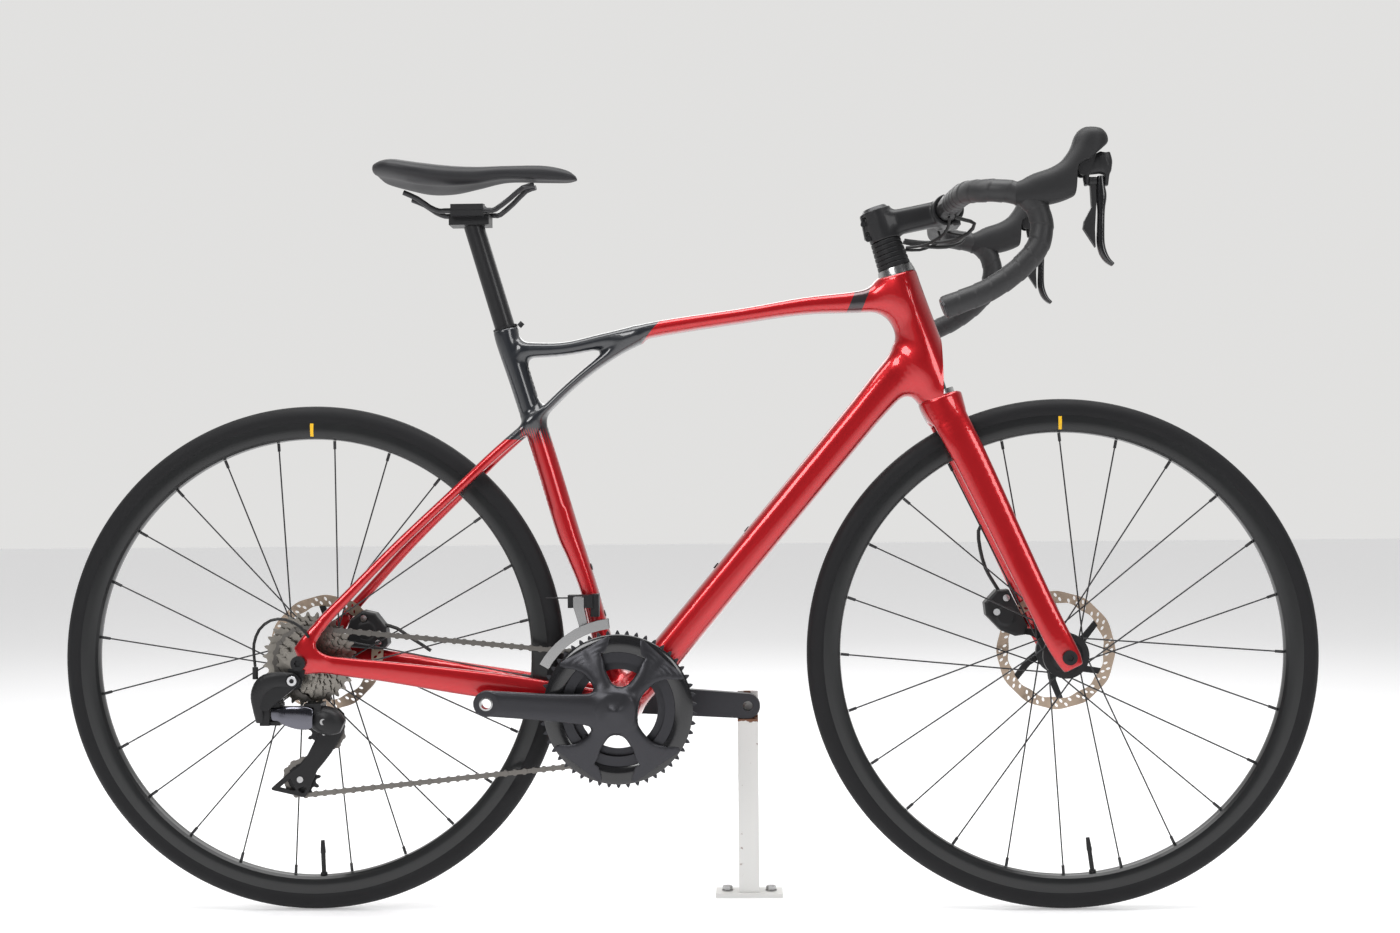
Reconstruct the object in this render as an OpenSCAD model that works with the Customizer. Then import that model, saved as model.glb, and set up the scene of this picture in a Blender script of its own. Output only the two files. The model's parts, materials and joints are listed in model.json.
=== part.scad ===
// A road bicycle with disc brakes and no pedals, resting by its left crank on a steel post stand.
// +X points forward, +Y to the bicycle's left and +Z up. The origin lies on the ground,
// midway between the two axles, on the centre plane. The chain side is at -Y.

/* [Wheels] */
// Outer radius of the tyres
tyre_r = 338; // [325:1:345]
// Width of the tyres
tyre_w = 28; // [25:1:32]
// Width of the rims over their flanks
rim_w = 23; // [20:1:24]
// Radial depth of the rims
rim_depth = 23; // [18:1:28]
// Spokes in each wheel
spoke_count = 24; // [20:4:28]
// Diameter of a spoke
spoke_d = 2; // [1.6:0.1:2.3]
// Diameter of the brake rotors
rotor_d = 160; // [140:20:160]
// Width over the front hub's end caps
front_hub_w = 100; // [96:1:110]
// Width over the rear hub's end caps
rear_hub_w = 142; // [138:1:148]

/* [Frame] */
// Distance between the axles
wheelbase = 1000; // [970:1:1030]
// Distance from the rear axle to the crank axle
chainstay_len = 418; // [410:1:430]
// Height of the axles above the crank axle
bb_drop = 66; // [60:1:76]
// Angle of the steering axis above the ground line
head_angle = 72; // [70:0.5:74]
// Length of the head tube
head_len = 174; // [150:1:200]
// Angle of the seat tube above the ground line
seat_angle = 73.3; // [72:0.1:75]
// Distance from the crank axle to the top of the seat tube
seat_tube_len = 527; // [500:1:560]
// Diameter of the seatpost
seatpost_d = 27.2; // [25.4:0.1:31.6]
// Width of the bottom bracket shell
bb_shell_w = 86; // [84:1:92]

/* [Fork and cockpit] */
// Distance of the front axle ahead of the steering axis
fork_rake = 46; // [40:1:52]
// Distance from the front axle to the head tube along the steering axis
axle_to_crown = 371; // [360:1:390]
// Diameter of the steerer tube
steerer_d = 28.6; // [25.4:0.1:31.8]
// Number of spacer rings under the stem
spacer_count = 6; // [3:1:8]
// Height of one spacer ring
spacer_h = 6.4; // [3:0.1:10]
// Length of the stem between its two clamps
stem_len = 90; // [80:5:120]
// Diameter of the handlebar at the stem
bar_clamp_d = 31.8; // [26:0.1:35]
// Diameter of the handlebar at the grips
bar_d = 23.8; // [22.2:0.1:24.5]
// Thickness of the wound tape
tape_t = 2.1; // [1.5:0.1:3]
// Half of the distance between the two levers
lever_half = 210; // [190:1:220]
// Diameter of a brake hose
hose_d = 5; // [4:0.5:6]

/* [Drivetrain] */
// Length of the cranks between spindle and pedal eye
crank_len = 170; // [165:2.5:175]
// How far the left crank leans below level
crank_tilt = 3.7; // [0:0.1:8]
// Teeth on the outer chainring
outer_teeth = 50; // [48:1:52]
// Teeth on the inner chainring, which carries the chain
inner_teeth = 34; // [34:1:36]
// Pitch of the chain
pitch = 12.7; // [12.7:0.1:12.7]
// Distance between neighbouring sprockets
cog_step = 3.74; // [3.6:0.02:3.9]
// Diameter of the crank spindle
spindle_d = 24; // [22:1:30]
// Bore for the pedal thread
pedal_bore_d = 13.6; // [12:0.1:15]

/* [Saddle] */
// Distance from the crank axle to the saddle rails along the seat tube
rail_height = 692; // [670:1:720]
// Distance between the two saddle rails
rail_gap = 44; // [40:1:46]
// Diameter of a saddle rail
rail_d = 7; // [7:0.1:9]
// Length of the saddle
saddle_len = 270; // [250:1:285]
// Width of the saddle
saddle_w = 146; // [135:1:160]

/* [Stand] */
// Width of the square stand tube
post_w = 28; // [25:1:32]
// Wall of the stand tube
post_wall = 5; // [3:0.5:6]
// Length of the foot plate along the bicycle
foot_len = 92; // [80:1:120]
// Width of the foot plate across the bicycle
foot_w = 36; // [30:1:60]
// Thickness of the foot plate
foot_t = 6; // [4:0.5:8]
// Height of the rear wall that is left standing behind the crank
post_tab = 36; // [20:1:45]

/* [Hidden] */
$fn = 48;
run = 0.05;            // radial clearance of a shaft in its bore
seat_gap = 0.05;       // clearance of a part clamped on a tube
side_gap = 0.3;        // clearance beside a moving part
axle_z = tyre_r;
rear_x = -wheelbase / 2;
front_x = wheelbase / 2;
bb_x = rear_x + sqrt(pow(chainstay_len, 2) - pow(bb_drop, 2));
bb_z = axle_z - bb_drop;
head_lean = 90 - head_angle;
seat_lean = 90 - seat_angle;
steer_x = front_x - fork_rake * cos(head_lean);
steer_z = axle_z - fork_rake * sin(head_lean);
head_low = axle_to_crown;
head_top = head_low + head_len;
stem_bend = 11;        // rise of the stem above level
stem_h = 42;
cover_h = 11;
spacer_low = head_top + cover_h + 0.6;
stem_low = spacer_low + spacer_count * (spacer_h + 0.1);
stem_mid = stem_low + stem_h / 2;
bar_x = steer_x - stem_mid * sin(head_lean) + stem_len * cos(stem_bend);
bar_z = steer_z + stem_mid * cos(head_lean) + stem_len * sin(stem_bend);
axle_r = 6;
front_drop_y = front_hub_w / 2;
rear_drop_y = rear_hub_w / 2;
rim_r = tyre_r - 22;
rim_in = rim_r - rim_depth;
tyre_mid = tyre_r - tyre_w / 2;
flange_r = 26;
spoke_lean = 62;
rotor_t = 1.8;
front_rotor_y = front_drop_y - 10.5;
rear_rotor_y = rear_drop_y - 15.3;
chain_y = -40;
outer_ring_y = chain_y - 7.1;
cog_teeth = [11, 12, 13, 14, 15, 17, 19, 21, 24, 27, 30];
chain_cog = 7;
cog_t = 1.8;
pulley_teeth = 11;
guide_x = -475.8;
guide_z = 242;
tension_x = -507.7576;
tension_z = 181.5;
cage_pivot_x = -468;
cage_pivot_z = 262;
rail_x = bb_x - rail_height * sin(seat_lean);
rail_z = bb_z + rail_height * cos(seat_lean);
crank_t = 13;
crank_right_y = -75.5;
crank_left_y = 60.5;
crank_end_r = 17;
left_eye_x = bb_x + crank_len * cos(crank_tilt);
left_eye_z = bb_z - crank_len * sin(crank_tilt);
post_y = crank_left_y - 2.5;
post_x = left_eye_x;
pivot_x = 494;
pivot_z = 941;
swing_z = 928;
frame_red = [0.62, 0.03, 0.05];
black = [0.06, 0.06, 0.07];
grey = [0.22, 0.22, 0.24];
silver = [0.75, 0.75, 0.77];
steel = [0.55, 0.53, 0.5];

// ---- placing helpers ----

// A cylinder along Y, centred on y
module rod_y(x, y, z, r, w) translate([x, y, z]) rotate([90, 0, 0]) cylinder(r = r, h = w, center = true);

// A cylinder along X, from x0 to x1
module rod_x(x0, x1, y, z, r) translate([x0, y, z]) rotate([0, 90, 0]) cylinder(r = r, h = x1 - x0);

// Children drawn in the side plane (X, Z) get the thickness y0 to y1
module plate(y0, y1) translate([0, y1, 0]) rotate([90, 0, 0]) linear_extrude(y1 - y0) children();

// Children turned about a point in the side plane become a ring about the Y axis there
module turned_at(x, z) translate([x, 0, z]) rotate([90, 0, 0]) rotate_extrude() children();

// Children in the steering frame: Z along the steering axis, up from the axle's foot point
module on_steerer() translate([steer_x, 0, steer_z]) rotate([0, -head_lean, 0]) children();

// Children in the seat tube's frame: Z along the seat tube, up from the crank axle
module on_seat_axis() translate([bb_x, 0, bb_z]) rotate([0, -seat_lean, 0]) children();

// A hexagon socket bolt head along Y, its outer face at y + h * side
module socket_head(x, y, z, r, h, side) {
    difference() {
        rod_y(x, y + side * h / 2, z, r, h);
        translate([x, y + side * h, z]) rotate([90, 0, 0]) cylinder(r = r * 0.5, h = h, center = true, $fn = 6);
    }
}

// Both sides of the bicycle
module both_sides() {
    children();
    mirror([0, 1, 0]) children();
}

// ---- lofted tubes ----

// Points of a superellipse with half-axes a and b and exponent e
function oval(a, b, e, n) = [for (i = [0 : n - 1]) let (w = 360 * i / n, c = cos(w), s = sin(w))
    [a * sign(c) * pow(abs(c), 2 / e), b * sign(s) * pow(abs(s), 2 / e)]];

// A smooth curve through the stations, with k steps between two of them
function smooth(p, k) = concat(
    [for (i = [0 : len(p) - 2]) for (j = [0 : k - 1])
        let (a = p[max(i - 1, 0)], b = p[i], c = p[i + 1], d = p[min(i + 2, len(p) - 1)], t = j / k)
        0.5 * (2 * b + (c - a) * t + (2 * a - 5 * b + 4 * c - d) * t * t + (3 * b - a - 3 * c + d) * t * t * t)],
    [p[len(p) - 1]]);

// Faces between rings of n points, with both ends closed
function skin(m, n, closed = true) = concat(
    closed ? [[for (j = [0 : n - 1]) j]] : [],
    [for (i = [0 : m - 2]) for (j = [0 : n - 1]) let (k = (j + 1) % n)
        each [[i * n + j, (i + 1) * n + j, (i + 1) * n + k], [i * n + j, (i + 1) * n + k, i * n + k]]],
    closed ? [[for (j = [n - 1 : -1 : 0]) (m - 1) * n + j]] : []);

// A tube through stations [x, y, z, depth, width, exponent], its depth measured in the side plane
module loft(stations, steps = 2, n = 18) {
    st = smooth(stations, steps);
    rings = [for (i = [0 : len(st) - 1])
        let (a = st[max(i - 1, 0)], b = st[min(i + 1, len(st) - 1)], d = [b[0] - a[0], b[2] - a[2]],
            t = d / norm(d), s = st[i])
        [for (q = oval(s[3] / 2, s[4] / 2, s[5], n)) [s[0] - t[1] * q[0], s[1] - q[1], s[2] + t[0] * q[0]]]];
    polyhedron([for (r = rings) each r], skin(len(rings), n));
}

// Rings of radius r along a path of points, r given per point
function path_rings(p, r, n) = [for (i = [0 : len(p) - 1])
    let (d = p[min(i + 1, len(p) - 1)] - p[max(i - 1, 0)], t = d / norm(d), u0 = cross(t, [0.6, 0.55, 0.58]),
        u = u0 / norm(u0), v = cross(t, u))
    [for (j = [0 : n - 1]) p[i] + r[i] * (cos(360 * j / n) * u + sin(360 * j / n) * v)]];

// A round cord or bar along the points
module cord(points, d, steps = 3, n = 8) {
    p = smooth(points, steps);
    polyhedron([for (r = path_rings(p, [for (q = p) d / 2], n)) each r], skin(len(p), n));
}

// ---- wheels ----

// Outline of a tyre's section, as [radius, width], open towards the rim
function tyre_outline() = let (ro = tyre_w / 2, ri = ro - 2.6, a = 52) concat(
    [for (w = [-90 - (90 - a) : 10 : 90 + (90 - a)]) [tyre_mid + ro * cos(w), ro * sin(w)]],
    [for (w = [90 + (90 - a) : -10 : -90 - (90 - a)]) [tyre_mid + ri * cos(w), ri * sin(w)]]);

module tyre(x) color(black) turned_at(x, axle_z) polygon(tyre_outline());

// A hollow box rim with a tyre well, its valve and no spoke holes
module rim(x, valve_angle) {
    bed = rim_r - 7;
    lip = 1.6;
    color(black) turned_at(x, axle_z) difference() {
        polygon([[rim_r, rim_w / 2], [bed - 4, rim_w / 2 + 0.3], [rim_in + 6, rim_w / 2 - 1.2],
            [rim_in + 1, rim_w / 2 - 5], [rim_in, rim_w / 2 - 9], [rim_in, 9 - rim_w / 2],
            [rim_in + 1, 5 - rim_w / 2], [rim_in + 6, 1.2 - rim_w / 2], [bed - 4, -rim_w / 2 - 0.3],
            [rim_r, -rim_w / 2], [rim_r, lip - rim_w / 2], [bed, lip - rim_w / 2], [bed - 2, -4],
            [bed - 2, 4], [bed, rim_w / 2 - lip], [rim_r, rim_w / 2 - lip]]);
        polygon([[bed - 4, rim_w / 2 - lip], [rim_in + 6, rim_w / 2 - 3], [rim_in + 1.8, 4],
            [rim_in + 1.8, -4], [rim_in + 6, 3 - rim_w / 2], [bed - 4, lip - rim_w / 2],
            [bed - 4, -4], [bed - 4, 4]]);
    }
    color(silver) translate([x, 0, axle_z]) rotate([0, -valve_angle, 0])
        translate([rim_in - 28, 0, 0]) rotate([0, 90, 0]) cylinder(d = 6, h = 27.9);
}

// Where a spoke leaves the hub, and where it enters the rim
function spoke_ends(k, first, shift, near_y, far_y) = let (
    rim_a = first + 360 / spoke_count * k,
    lead = floor((k + shift) / 2) % 2 == 0 ? -1 : 1,
    right = k % 2 == 0,
    hub_a = rim_a + lead * spoke_lean,
    y = (right ? near_y : far_y) + lead * 1.4)
    [[flange_r * cos(hub_a), y, flange_r * sin(hub_a)], [(rim_in - 0.1) * cos(rim_a), 0, (rim_in - 0.1) * sin(rim_a)]];

module spokes(x, first, shift, near_y, far_y) color(grey) translate([x, 0, axle_z])
    for (k = [0 : spoke_count - 1]) {
        e = spoke_ends(k, first, shift, near_y, far_y);
        d = e[1] - e[0];
        l = norm(d);
        translate(e[0]) rotate([0, acos(d[2] / l), atan2(d[1], d[0])]) {
            cylinder(d = spoke_d, h = l - 11, $fn = 16);
            translate([0, 0, l - 11.5]) cylinder(d = 4, h = 11, $fn = 16);
        }
    }

// A disc-brake hub shell with two flanges, bored for its axle
module hub_shell(x, half_w, near_y, far_y, barrel_r) {
    color(grey) turned_at(x, axle_z) polygon([
        [axle_r + run, half_w], [10, half_w], [10, half_w - 3], [16, -near_y + 12], [22, -near_y + 4],
        [flange_r + 4, -near_y + 4], [flange_r + 4, -near_y - 4], [barrel_r, -near_y - 7],
        [barrel_r, -far_y + 7], [flange_r + 4, -far_y + 4], [flange_r + 4, -far_y - 4],
        [20, -far_y - 4], [17.4, -far_y - 8], [17.4, -half_w + 6], [10, -half_w + 3], [10, -half_w], [axle_r + run, -half_w]]);
}

// Rear hub: the same shell on the left, and a plain core under the cassette on the right
module rear_hub() color(grey) turned_at(rear_x, axle_z) polygon([
    [axle_r + run, rear_drop_y], [10, rear_drop_y], [10, 26], [flange_r + 4, 23], [flange_r + 4, 15], [15, 12],
    [15, -27], [flange_r + 4, -30], [flange_r + 4, -38], [20, -38], [17.4, -42], [17.4, -rear_drop_y + 6],
    [10, -rear_drop_y + 3], [10, -rear_drop_y], [axle_r + run, -rear_drop_y]]);

// A ventilated brake rotor with six arms, two rows of holes and a splined carrier ring
module rotor(x, y) {
    hole_n = 30;
    color(steel) plate(y - rotor_t / 2, y + rotor_t / 2) translate([x, axle_z]) {
        difference() {
            circle(d = rotor_d);
            circle(r = rotor_d / 2 - 15);
            for (i = [0 : hole_n - 1]) rotate(i * 360 / hole_n)
                translate([rotor_d / 2 - 5 - 5 * (i % 2), 0]) circle(d = 4.6, $fn = 16);
        }
        for (i = [0 : 5]) rotate(i * 60) translate([20, -6]) rotate(14) square([rotor_d / 2 - 33, 6]);
        difference() {
            circle(r = 24);
            circle(r = 17.5);
        }
    }
}

// ---- toothed wheels ----

function pitch_r(teeth) = pitch / (2 * sin(180 / teeth));

// Outline of a chain wheel, with a gap centred on the angle phase
function tooth_outline(teeth, phase) = let (r = pitch_r(teeth), seat = 4.3, half = 180 / teeth)
    [for (i = [0 : teeth - 1]) let (a = phase + i * 2 * half)
        each concat([for (w = [90, 45, 0, -45, -90])
                [(r - seat * cos(w)) * cos(a) + seat * sin(w) * sin(a),
                    (r - seat * cos(w)) * sin(a) - seat * sin(w) * cos(a)]],
            [for (o = [-1, 1]) [(r + 2.4) * cos(a + half + o * 30 / r), (r + 2.4) * sin(a + half + o * 30 / r)]])];

// The chain runs clockwise over cog, inner ring and tension pulley, and back over the guide pulley
belt = [[[rear_x, axle_z], cog_teeth[chain_cog], 1], [[bb_x, bb_z], inner_teeth, 1],
    [[tension_x, tension_z], pulley_teeth, 1], [[guide_x, guide_z], pulley_teeth, -1]];

// Direction of the straight run from wheel i to the next one
function run_angle(i) = let (a = belt[i], b = belt[(i + 1) % 4], d = b[0] - a[0])
    atan2(d[1], d[0]) - asin((a[2] * pitch_r(a[1]) - b[2] * pitch_r(b[1])) / norm(d));
function run_start(i) = let (a = belt[i], f = run_angle(i)) a[0] + a[2] * pitch_r(a[1]) * [-sin(f), cos(f)];
function run_end(i) = let (b = belt[(i + 1) % 4], f = run_angle(i))
    b[0] + b[2] * pitch_r(b[1]) * [-sin(f), cos(f)];
function turn_in(i) = let (w = belt[i], d = (run_angle((i + 3) % 4) - run_angle(i)) * w[2])
    d - 360 * floor(d / 360);
function arc_len(i) = turn_in(i) / 360 * belt[i][1] * pitch;
function run_len(i) = norm(run_end(i) - run_start(i));
loop_len = arc_len(0) + run_len(0) + arc_len(1) + run_len(1) + arc_len(2) + run_len(2) + arc_len(3) + run_len(3);
link_count = 2 * round(loop_len / pitch / 2);
link_step = loop_len / link_count;

// Point of the loop at the distance s, counted from where wheel i takes the chain up
function loop_point(s, i = 0) = let (w = belt[i], a = arc_len(i), f = run_angle((i + 3) % 4))
    s < a ? let (g = f - w[2] * s / a * turn_in(i)) w[0] + w[2] * pitch_r(w[1]) * [-sin(g), cos(g)]
    : s < a + run_len(i) ? run_start(i) + (s - a) * [cos(run_angle(i)), sin(run_angle(i))]
    : loop_point(s - a - run_len(i), (i + 1) % 4);

// Angle of the first chain roller on wheel i, where its tooth gaps lie
function wheel_start(i) = i == 0 ? 0 : wheel_start(i - 1) + arc_len(i - 1) + run_len(i - 1);
function mesh_phase(i) = let (s = ceil(wheel_start(i) / link_step + arc_len(i) / link_step / 2) * link_step,
    d = loop_point(s) - belt[i][0]) atan2(d[1], d[0]);

module toothed(teeth, phase, x, z, y, t) plate(y - t / 2, y + t / 2) translate([x, z])
    polygon(tooth_outline(teeth, phase));

// ---- frame ----

// The bores that the tubes leave free: steerer, seatpost and spindle
module head_bore() on_steerer() translate([0, 0, head_low]) cylinder(d = 46, h = head_len);
module post_bore() on_seat_axis() translate([0, 0, seat_tube_len - 250])
    cylinder(d = seatpost_d + 2 * run, h = 300);
module bb_bore() rod_y(bb_x, 0, bb_z, 20.5, bb_shell_w + 2);

module head_tube() color(frame_red) on_steerer() difference() {
    rotate_extrude() polygon([[0, head_low + 0.6], [28.5, head_low + 0.6], [29.5, head_low + 14],
        [28.5, head_low + 50], [27, head_low + 100], [25.6, head_top]  , [0, head_top]]);
    cylinder(d = 46, h = 2 * head_low + 26, center = true);
    translate([0, 0, head_low]) cylinder(d = 40, h = head_len + 10);
}

module top_tube() color(frame_red) difference() {
    union() {
    loft([[283, 0, 811, 40, 33, 2.5], [240, 0, 809, 31, 36, 2.7], [162, 0, 803, 22.5, 39, 2.8],
        [80, 0, 791.5, 19.5, 41, 2.8], [-30, 0, 776, 20.5, 39, 2.8], [-106, 0, 760, 20, 34, 2.7],
        [-160, 0, 750.5, 17, 32, 2.6], [-214, 0, 748, 24, 32, 2.5]]);
    loft([[-66, 0, 762, 16, 30, 2.5], [-95, 0, 744, 15, 31, 2.5], [-125, 0, 722, 13, 31, 2.5],
        [-155, 0, 697, 12.5, 32, 2.5], [-185, 0, 669, 13, 34, 2.5], [-204, 0, 650, 14, 36, 2.5]]);
    }
    head_bore();
    post_bore();
}

module down_tube() color(frame_red) difference() {
    loft([[290, 0, 716, 50, 40, 2.4], [262, 0, 683, 47, 46, 2.6],
    [220, 0, 633, 45, 50, 2.8], [120, 0, 513, 45, 54, 3], [0, 0, 370, 46, 58, 3], [-52, 0, 309, 46, 62, 2.8],
    [-76, 0, 282, 42, 66, 2.6]]);
    head_bore();
    bb_bore();
}

module seat_tube() color(frame_red) difference() {
    loft([[-95, 0, 292, 32, 44, 2.6], [-110, 0, 350, 26, 36, 2.5], [-128, 0, 424, 21.5, 32, 2.4],
        [-146, 0, 476, 27, 33, 2.3], [-157, 0, 506, 31, 33.5, 2.2], [-185, 0, 600, 30.5, 33.5, 2.2],
        [-216, 0, 700, 30, 33.5, 2.2], [-234, 0, 757, 32, 34, 2.3], [bb_x - seat_tube_len * sin(seat_lean), 0,
            bb_z + seat_tube_len * cos(seat_lean), 33, 34, 2.3]], 2, 22);
    post_bore();
    bb_bore();
}

module bb_shell() color(frame_red) difference() {
    rod_y(bb_x, 0, bb_z, 27, bb_shell_w);
    bb_bore();
}

module seat_stays() color(frame_red) both_sides() difference() {
    loft([[-204, -11, 650, 14, 12, 2.3],
    [-232, -17, 626, 13.5, 12, 2.3], [-261, -22, 600, 13, 12, 2.3], [-297, -31, 565, 12.5, 12, 2.3],
    [-376, -46, 490, 12.5, 11.5, 2.3], [-440, -61, 424, 14, 11, 2.3], [-470, -68.5, 392, 16, 10, 2.3],
    [-492, -75.2, 364, 19, 8, 2.3]]);
    post_bore();
}

module chain_stays() color(frame_red) both_sides() difference() {
    loft([[-484, -75.2, 337, 22, 8, 2.6],
    [-462, -72.5, 334.5, 23, 9, 2.6], [-430, -66, 329, 25, 11, 2.6], [-389, -56, 324, 27, 12, 2.6],
    [-303, -38, 310, 33, 14, 2.6], [-220, -28, 296, 35, 15, 2.6], [-180, -26.5, 289, 35, 14.5, 2.6],
    [-130, -27, 281, 34, 15, 2.6], [-98, -28, 275, 32, 15, 2.6]]);
    bb_bore();
}

// Carbon ends that hold the axle, with the metal hanger on the right
module dropouts() {
    outer = rear_drop_y + 8;
    color(frame_red) both_sides() difference() {
        plate(-outer, -rear_drop_y - side_gap) union() {
            translate([rear_x, axle_z]) circle(r = 15);
            polygon([[-511, 330], [-478, 327], [-470, 345], [-483, 352], [-487, 376], [-500, 364]]);
        }
        rod_y(rear_x, -75, axle_z, axle_r + seat_gap, 30);
    }
    color(black) difference() {
        plate(-rear_drop_y - 11.5, -rear_drop_y - 8.05) union() {
            translate([rear_x, axle_z]) circle(r = 11);
            polygon([[-511, 338], [-489, 334], [-496, 318], [-507, 306], [-517, 314]]);
            translate([-506.5, 316]) circle(r = 10);
        }
        rod_y(rear_x, -80, axle_z, axle_r + seat_gap, 12);
        rod_y(-506.5, -80, 316, 5 + seat_gap, 12);
    }
}

module rear_thru_axle() color(black) {
    rod_y(rear_x, (rear_drop_y + 8 - rear_drop_y - 12) / 2, axle_z, axle_r, 2 * rear_drop_y + 20);
    socket_head(rear_x, -rear_drop_y - 12, axle_z, 9.5, 5, -1);
}

// A bearing cartridge ring on Z, with its inner race bored to run
module bearing_ring(z, od, id, h) translate([0, 0, z]) difference() {
    cylinder(d = od, h = h);
    translate([0, 0, -1]) cylinder(d = id + 2 * run, h = h + 2);
}

module frame_bearings() {
    color(silver) on_steerer() {
        bearing_ring(head_low + 3, 45.9, 38, 8);
        bearing_ring(head_top - 8, 39.9, steerer_d, 7);
    }
    color(grey) both_sides() translate([bb_x, -bb_shell_w / 2 - 4, bb_z]) rotate([-90, 0, 0]) difference() {
        union() {
            cylinder(r = 22.5, h = 3.9);
            cylinder(r = 20.4, h = 16);
        }
        translate([0, 0, -1]) cylinder(d = spindle_d + 2 * run, h = 20);
    }
}

// Seat clamp wedge with its bolt, four bottle bolts and a port cover
module frame_hardware() {
    color(black) on_seat_axis() {
        translate([18.5, 0, seat_tube_len - 1]) rotate([0, 60, 0]) cylinder(d = 7, h = 7);
        difference() {
            translate([0, 0, seat_tube_len + 0.1]) cylinder(r = 16.6, h = 3.2);
            translate([0, 0, seat_tube_len - 1]) cylinder(d = seatpost_d + 2 * run, h = 6);
        }
    }
    color(black) for (p = [[42.5, 458], [84, 506.5]])
        translate([p[0] + 2, 0, p[1] - 3]) rotate([0, -50, 0]) cylinder(d = 9, h = 4.5);
    color(black) for (p = [[-126.8, 457], [-109.4, 394.5]])
        translate([p[0] - 2, 0, p[1] - 1]) rotate([0, 73.3, 0]) cylinder(d = 9, h = 4.5);
}

// ---- brakes ----

// A caliper with the given side outline that straddles the rotor on the axle at cx
module caliper(outline, cx, y, bolts) {
    color(black) difference() {
        plate(y - 14, y + 14) polygon(outline);
        rod_y(cx, y, axle_z, rotor_d / 2 + 2, 3);
    }
    color(silver) for (b = bolts) rod_y(b[0], y - 15.3, b[1], 4.5, 2.4);
}

module rear_caliper() caliper([[-471, 347], [-418, 342.5], [-411, 350], [-414, 374], [-429, 393], [-446, 397],
    [-463, 385], [-471, 362]], rear_x, rear_rotor_y, [[-424, 352], [-444, 386]]);

module front_caliper() caliper([[436, 421], [461, 371], [458, 360], [444, 358], [424, 366], [405, 386],
    [403, 403], [419, 420]], front_x, front_rotor_y, [[432, 410], [419, 391]]);

// Route of the rear shift cable from the stay's end to the derailleur
shift_loop = [[-486.7, -81.25, 371.1], [-498, -83.1, 385.8], [-517, -83.5, 395], [-536, -84, 394], [-551, -84, 382],
    [-558, -84, 364], [-558, -84, 348], [-556.5, -84, 334]];
// Route of the rear brake hose from the stay to the caliper
rear_hose = [[-352, 45, 341], [-366, 47, 350], [-383, 50, 360], [-400, 54, 371], [-417, 55.7, 376]];

module frame_cables() color(black) {
    cord(shift_loop, 4, 2);
    cord(rear_hose, hose_d, 2);
}

// ---- front derailleur ----

fd_x = -139;
fd_pivot_y = -25;
fd_pivot_z = 411;

module fd_base() {
    color(black) difference() {
        union() {
            translate([-124, -31, 392]) cube([11, 17.5, 30]);
            translate([-154, -34, 404]) cube([33, 16, 17]);
        }
        rod_x(-160, -120, fd_pivot_y, fd_pivot_z, 3 + run);
        translate([-147, -40, 395]) cube([14.6, 30, 24]);
    }
    color(silver) rod_x(-184, -154.1, -27, 417, 1);
}

// Cage plates around the chain, on an arm that hangs from a pin
module fd_cage() {
    arc = [for (a = [96 : 6 : 150]) [bb_x + 119 * cos(a), bb_z + 119 * sin(a)]];
    inner = [for (a = [150 : -6 : 96]) [bb_x + 105.8 * cos(a), bb_z + 105.8 * sin(a)]];
    color(silver) {
        plate(chain_y - 6.1, chain_y - 4.9) polygon(concat(arc, inner));
        plate(chain_y + 4.9, chain_y + 6.1) polygon(concat(arc, inner));
        plate(chain_y - 5, chain_y + 5) translate([bb_x - 21, bb_z + 112.5]) square([6, 4]);
        plate(chain_y - 5, chain_y + 5) translate([bb_x + 112 * cos(146) - 2, bb_z + 112 * sin(146) - 3]) square([4, 6]);
    }
    color(silver) {
        rod_x(-153.8, -125.5, fd_pivot_y, fd_pivot_z, 3);
        plate(-34.2, fd_pivot_y + 4) union() {
            translate([-146.7, 404]) square([14, 14]);
            polygon([[-146.7, 405], [-132.7, 405], [-128, 382], [-138, 376]]);
        }
    }
}

// ---- fork ----

module fork_crown() {
    color(frame_red) on_steerer() {
        difference() {
            union() {
                translate([0, 0, head_low - 19]) cylinder(r1 = 25, r2 = 28.5, h = 19);
                translate([0, 0, head_low - 1]) cylinder(d = 38, h = 10);
            }
            translate([0, 0, head_low - 40]) cylinder(d = 20, h = 60);
        }
        difference() {
            translate([0, 0, head_low + 8]) cylinder(d = steerer_d, h = stem_low + stem_h - head_low - 8);
            translate([0, 0, head_low]) cylinder(d = steerer_d - 5, h = 300);
        }
    }
}

module fork_blades() color(frame_red) both_sides() difference() {
    loft([[345, -13, 668, 46, 24, 2.2], [356, -24, 640, 46, 20, 2.3], [375, -29, 606, 44, 18, 2.4],
        [402, -33, 548, 41, 17, 2.4], [432, -40, 481, 37.5, 16, 2.4], [466, -50.5, 405, 34.5, 15, 2.4],
        [488, -55.5, 360, 33, 12, 2.5], [500, -56, 334, 31, 11.4, 2.6], [505, -56, 322, 26, 11, 2.6]]);
    translate([440, -front_drop_y - side_gap, 310]) cube([100, 20, 75]);
    rod_y(front_x, -60, axle_z, axle_r + seat_gap, 30);
    on_steerer() translate([0, 0, head_low - 19]) cylinder(r = 40, h = 40);
}

module front_thru_axle() color(black) {
    rod_y(front_x, 0, axle_z, axle_r, 2 * front_drop_y + 24);
    socket_head(front_x, -front_drop_y - 12, axle_z, 9.5, 4, -1);
}

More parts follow.
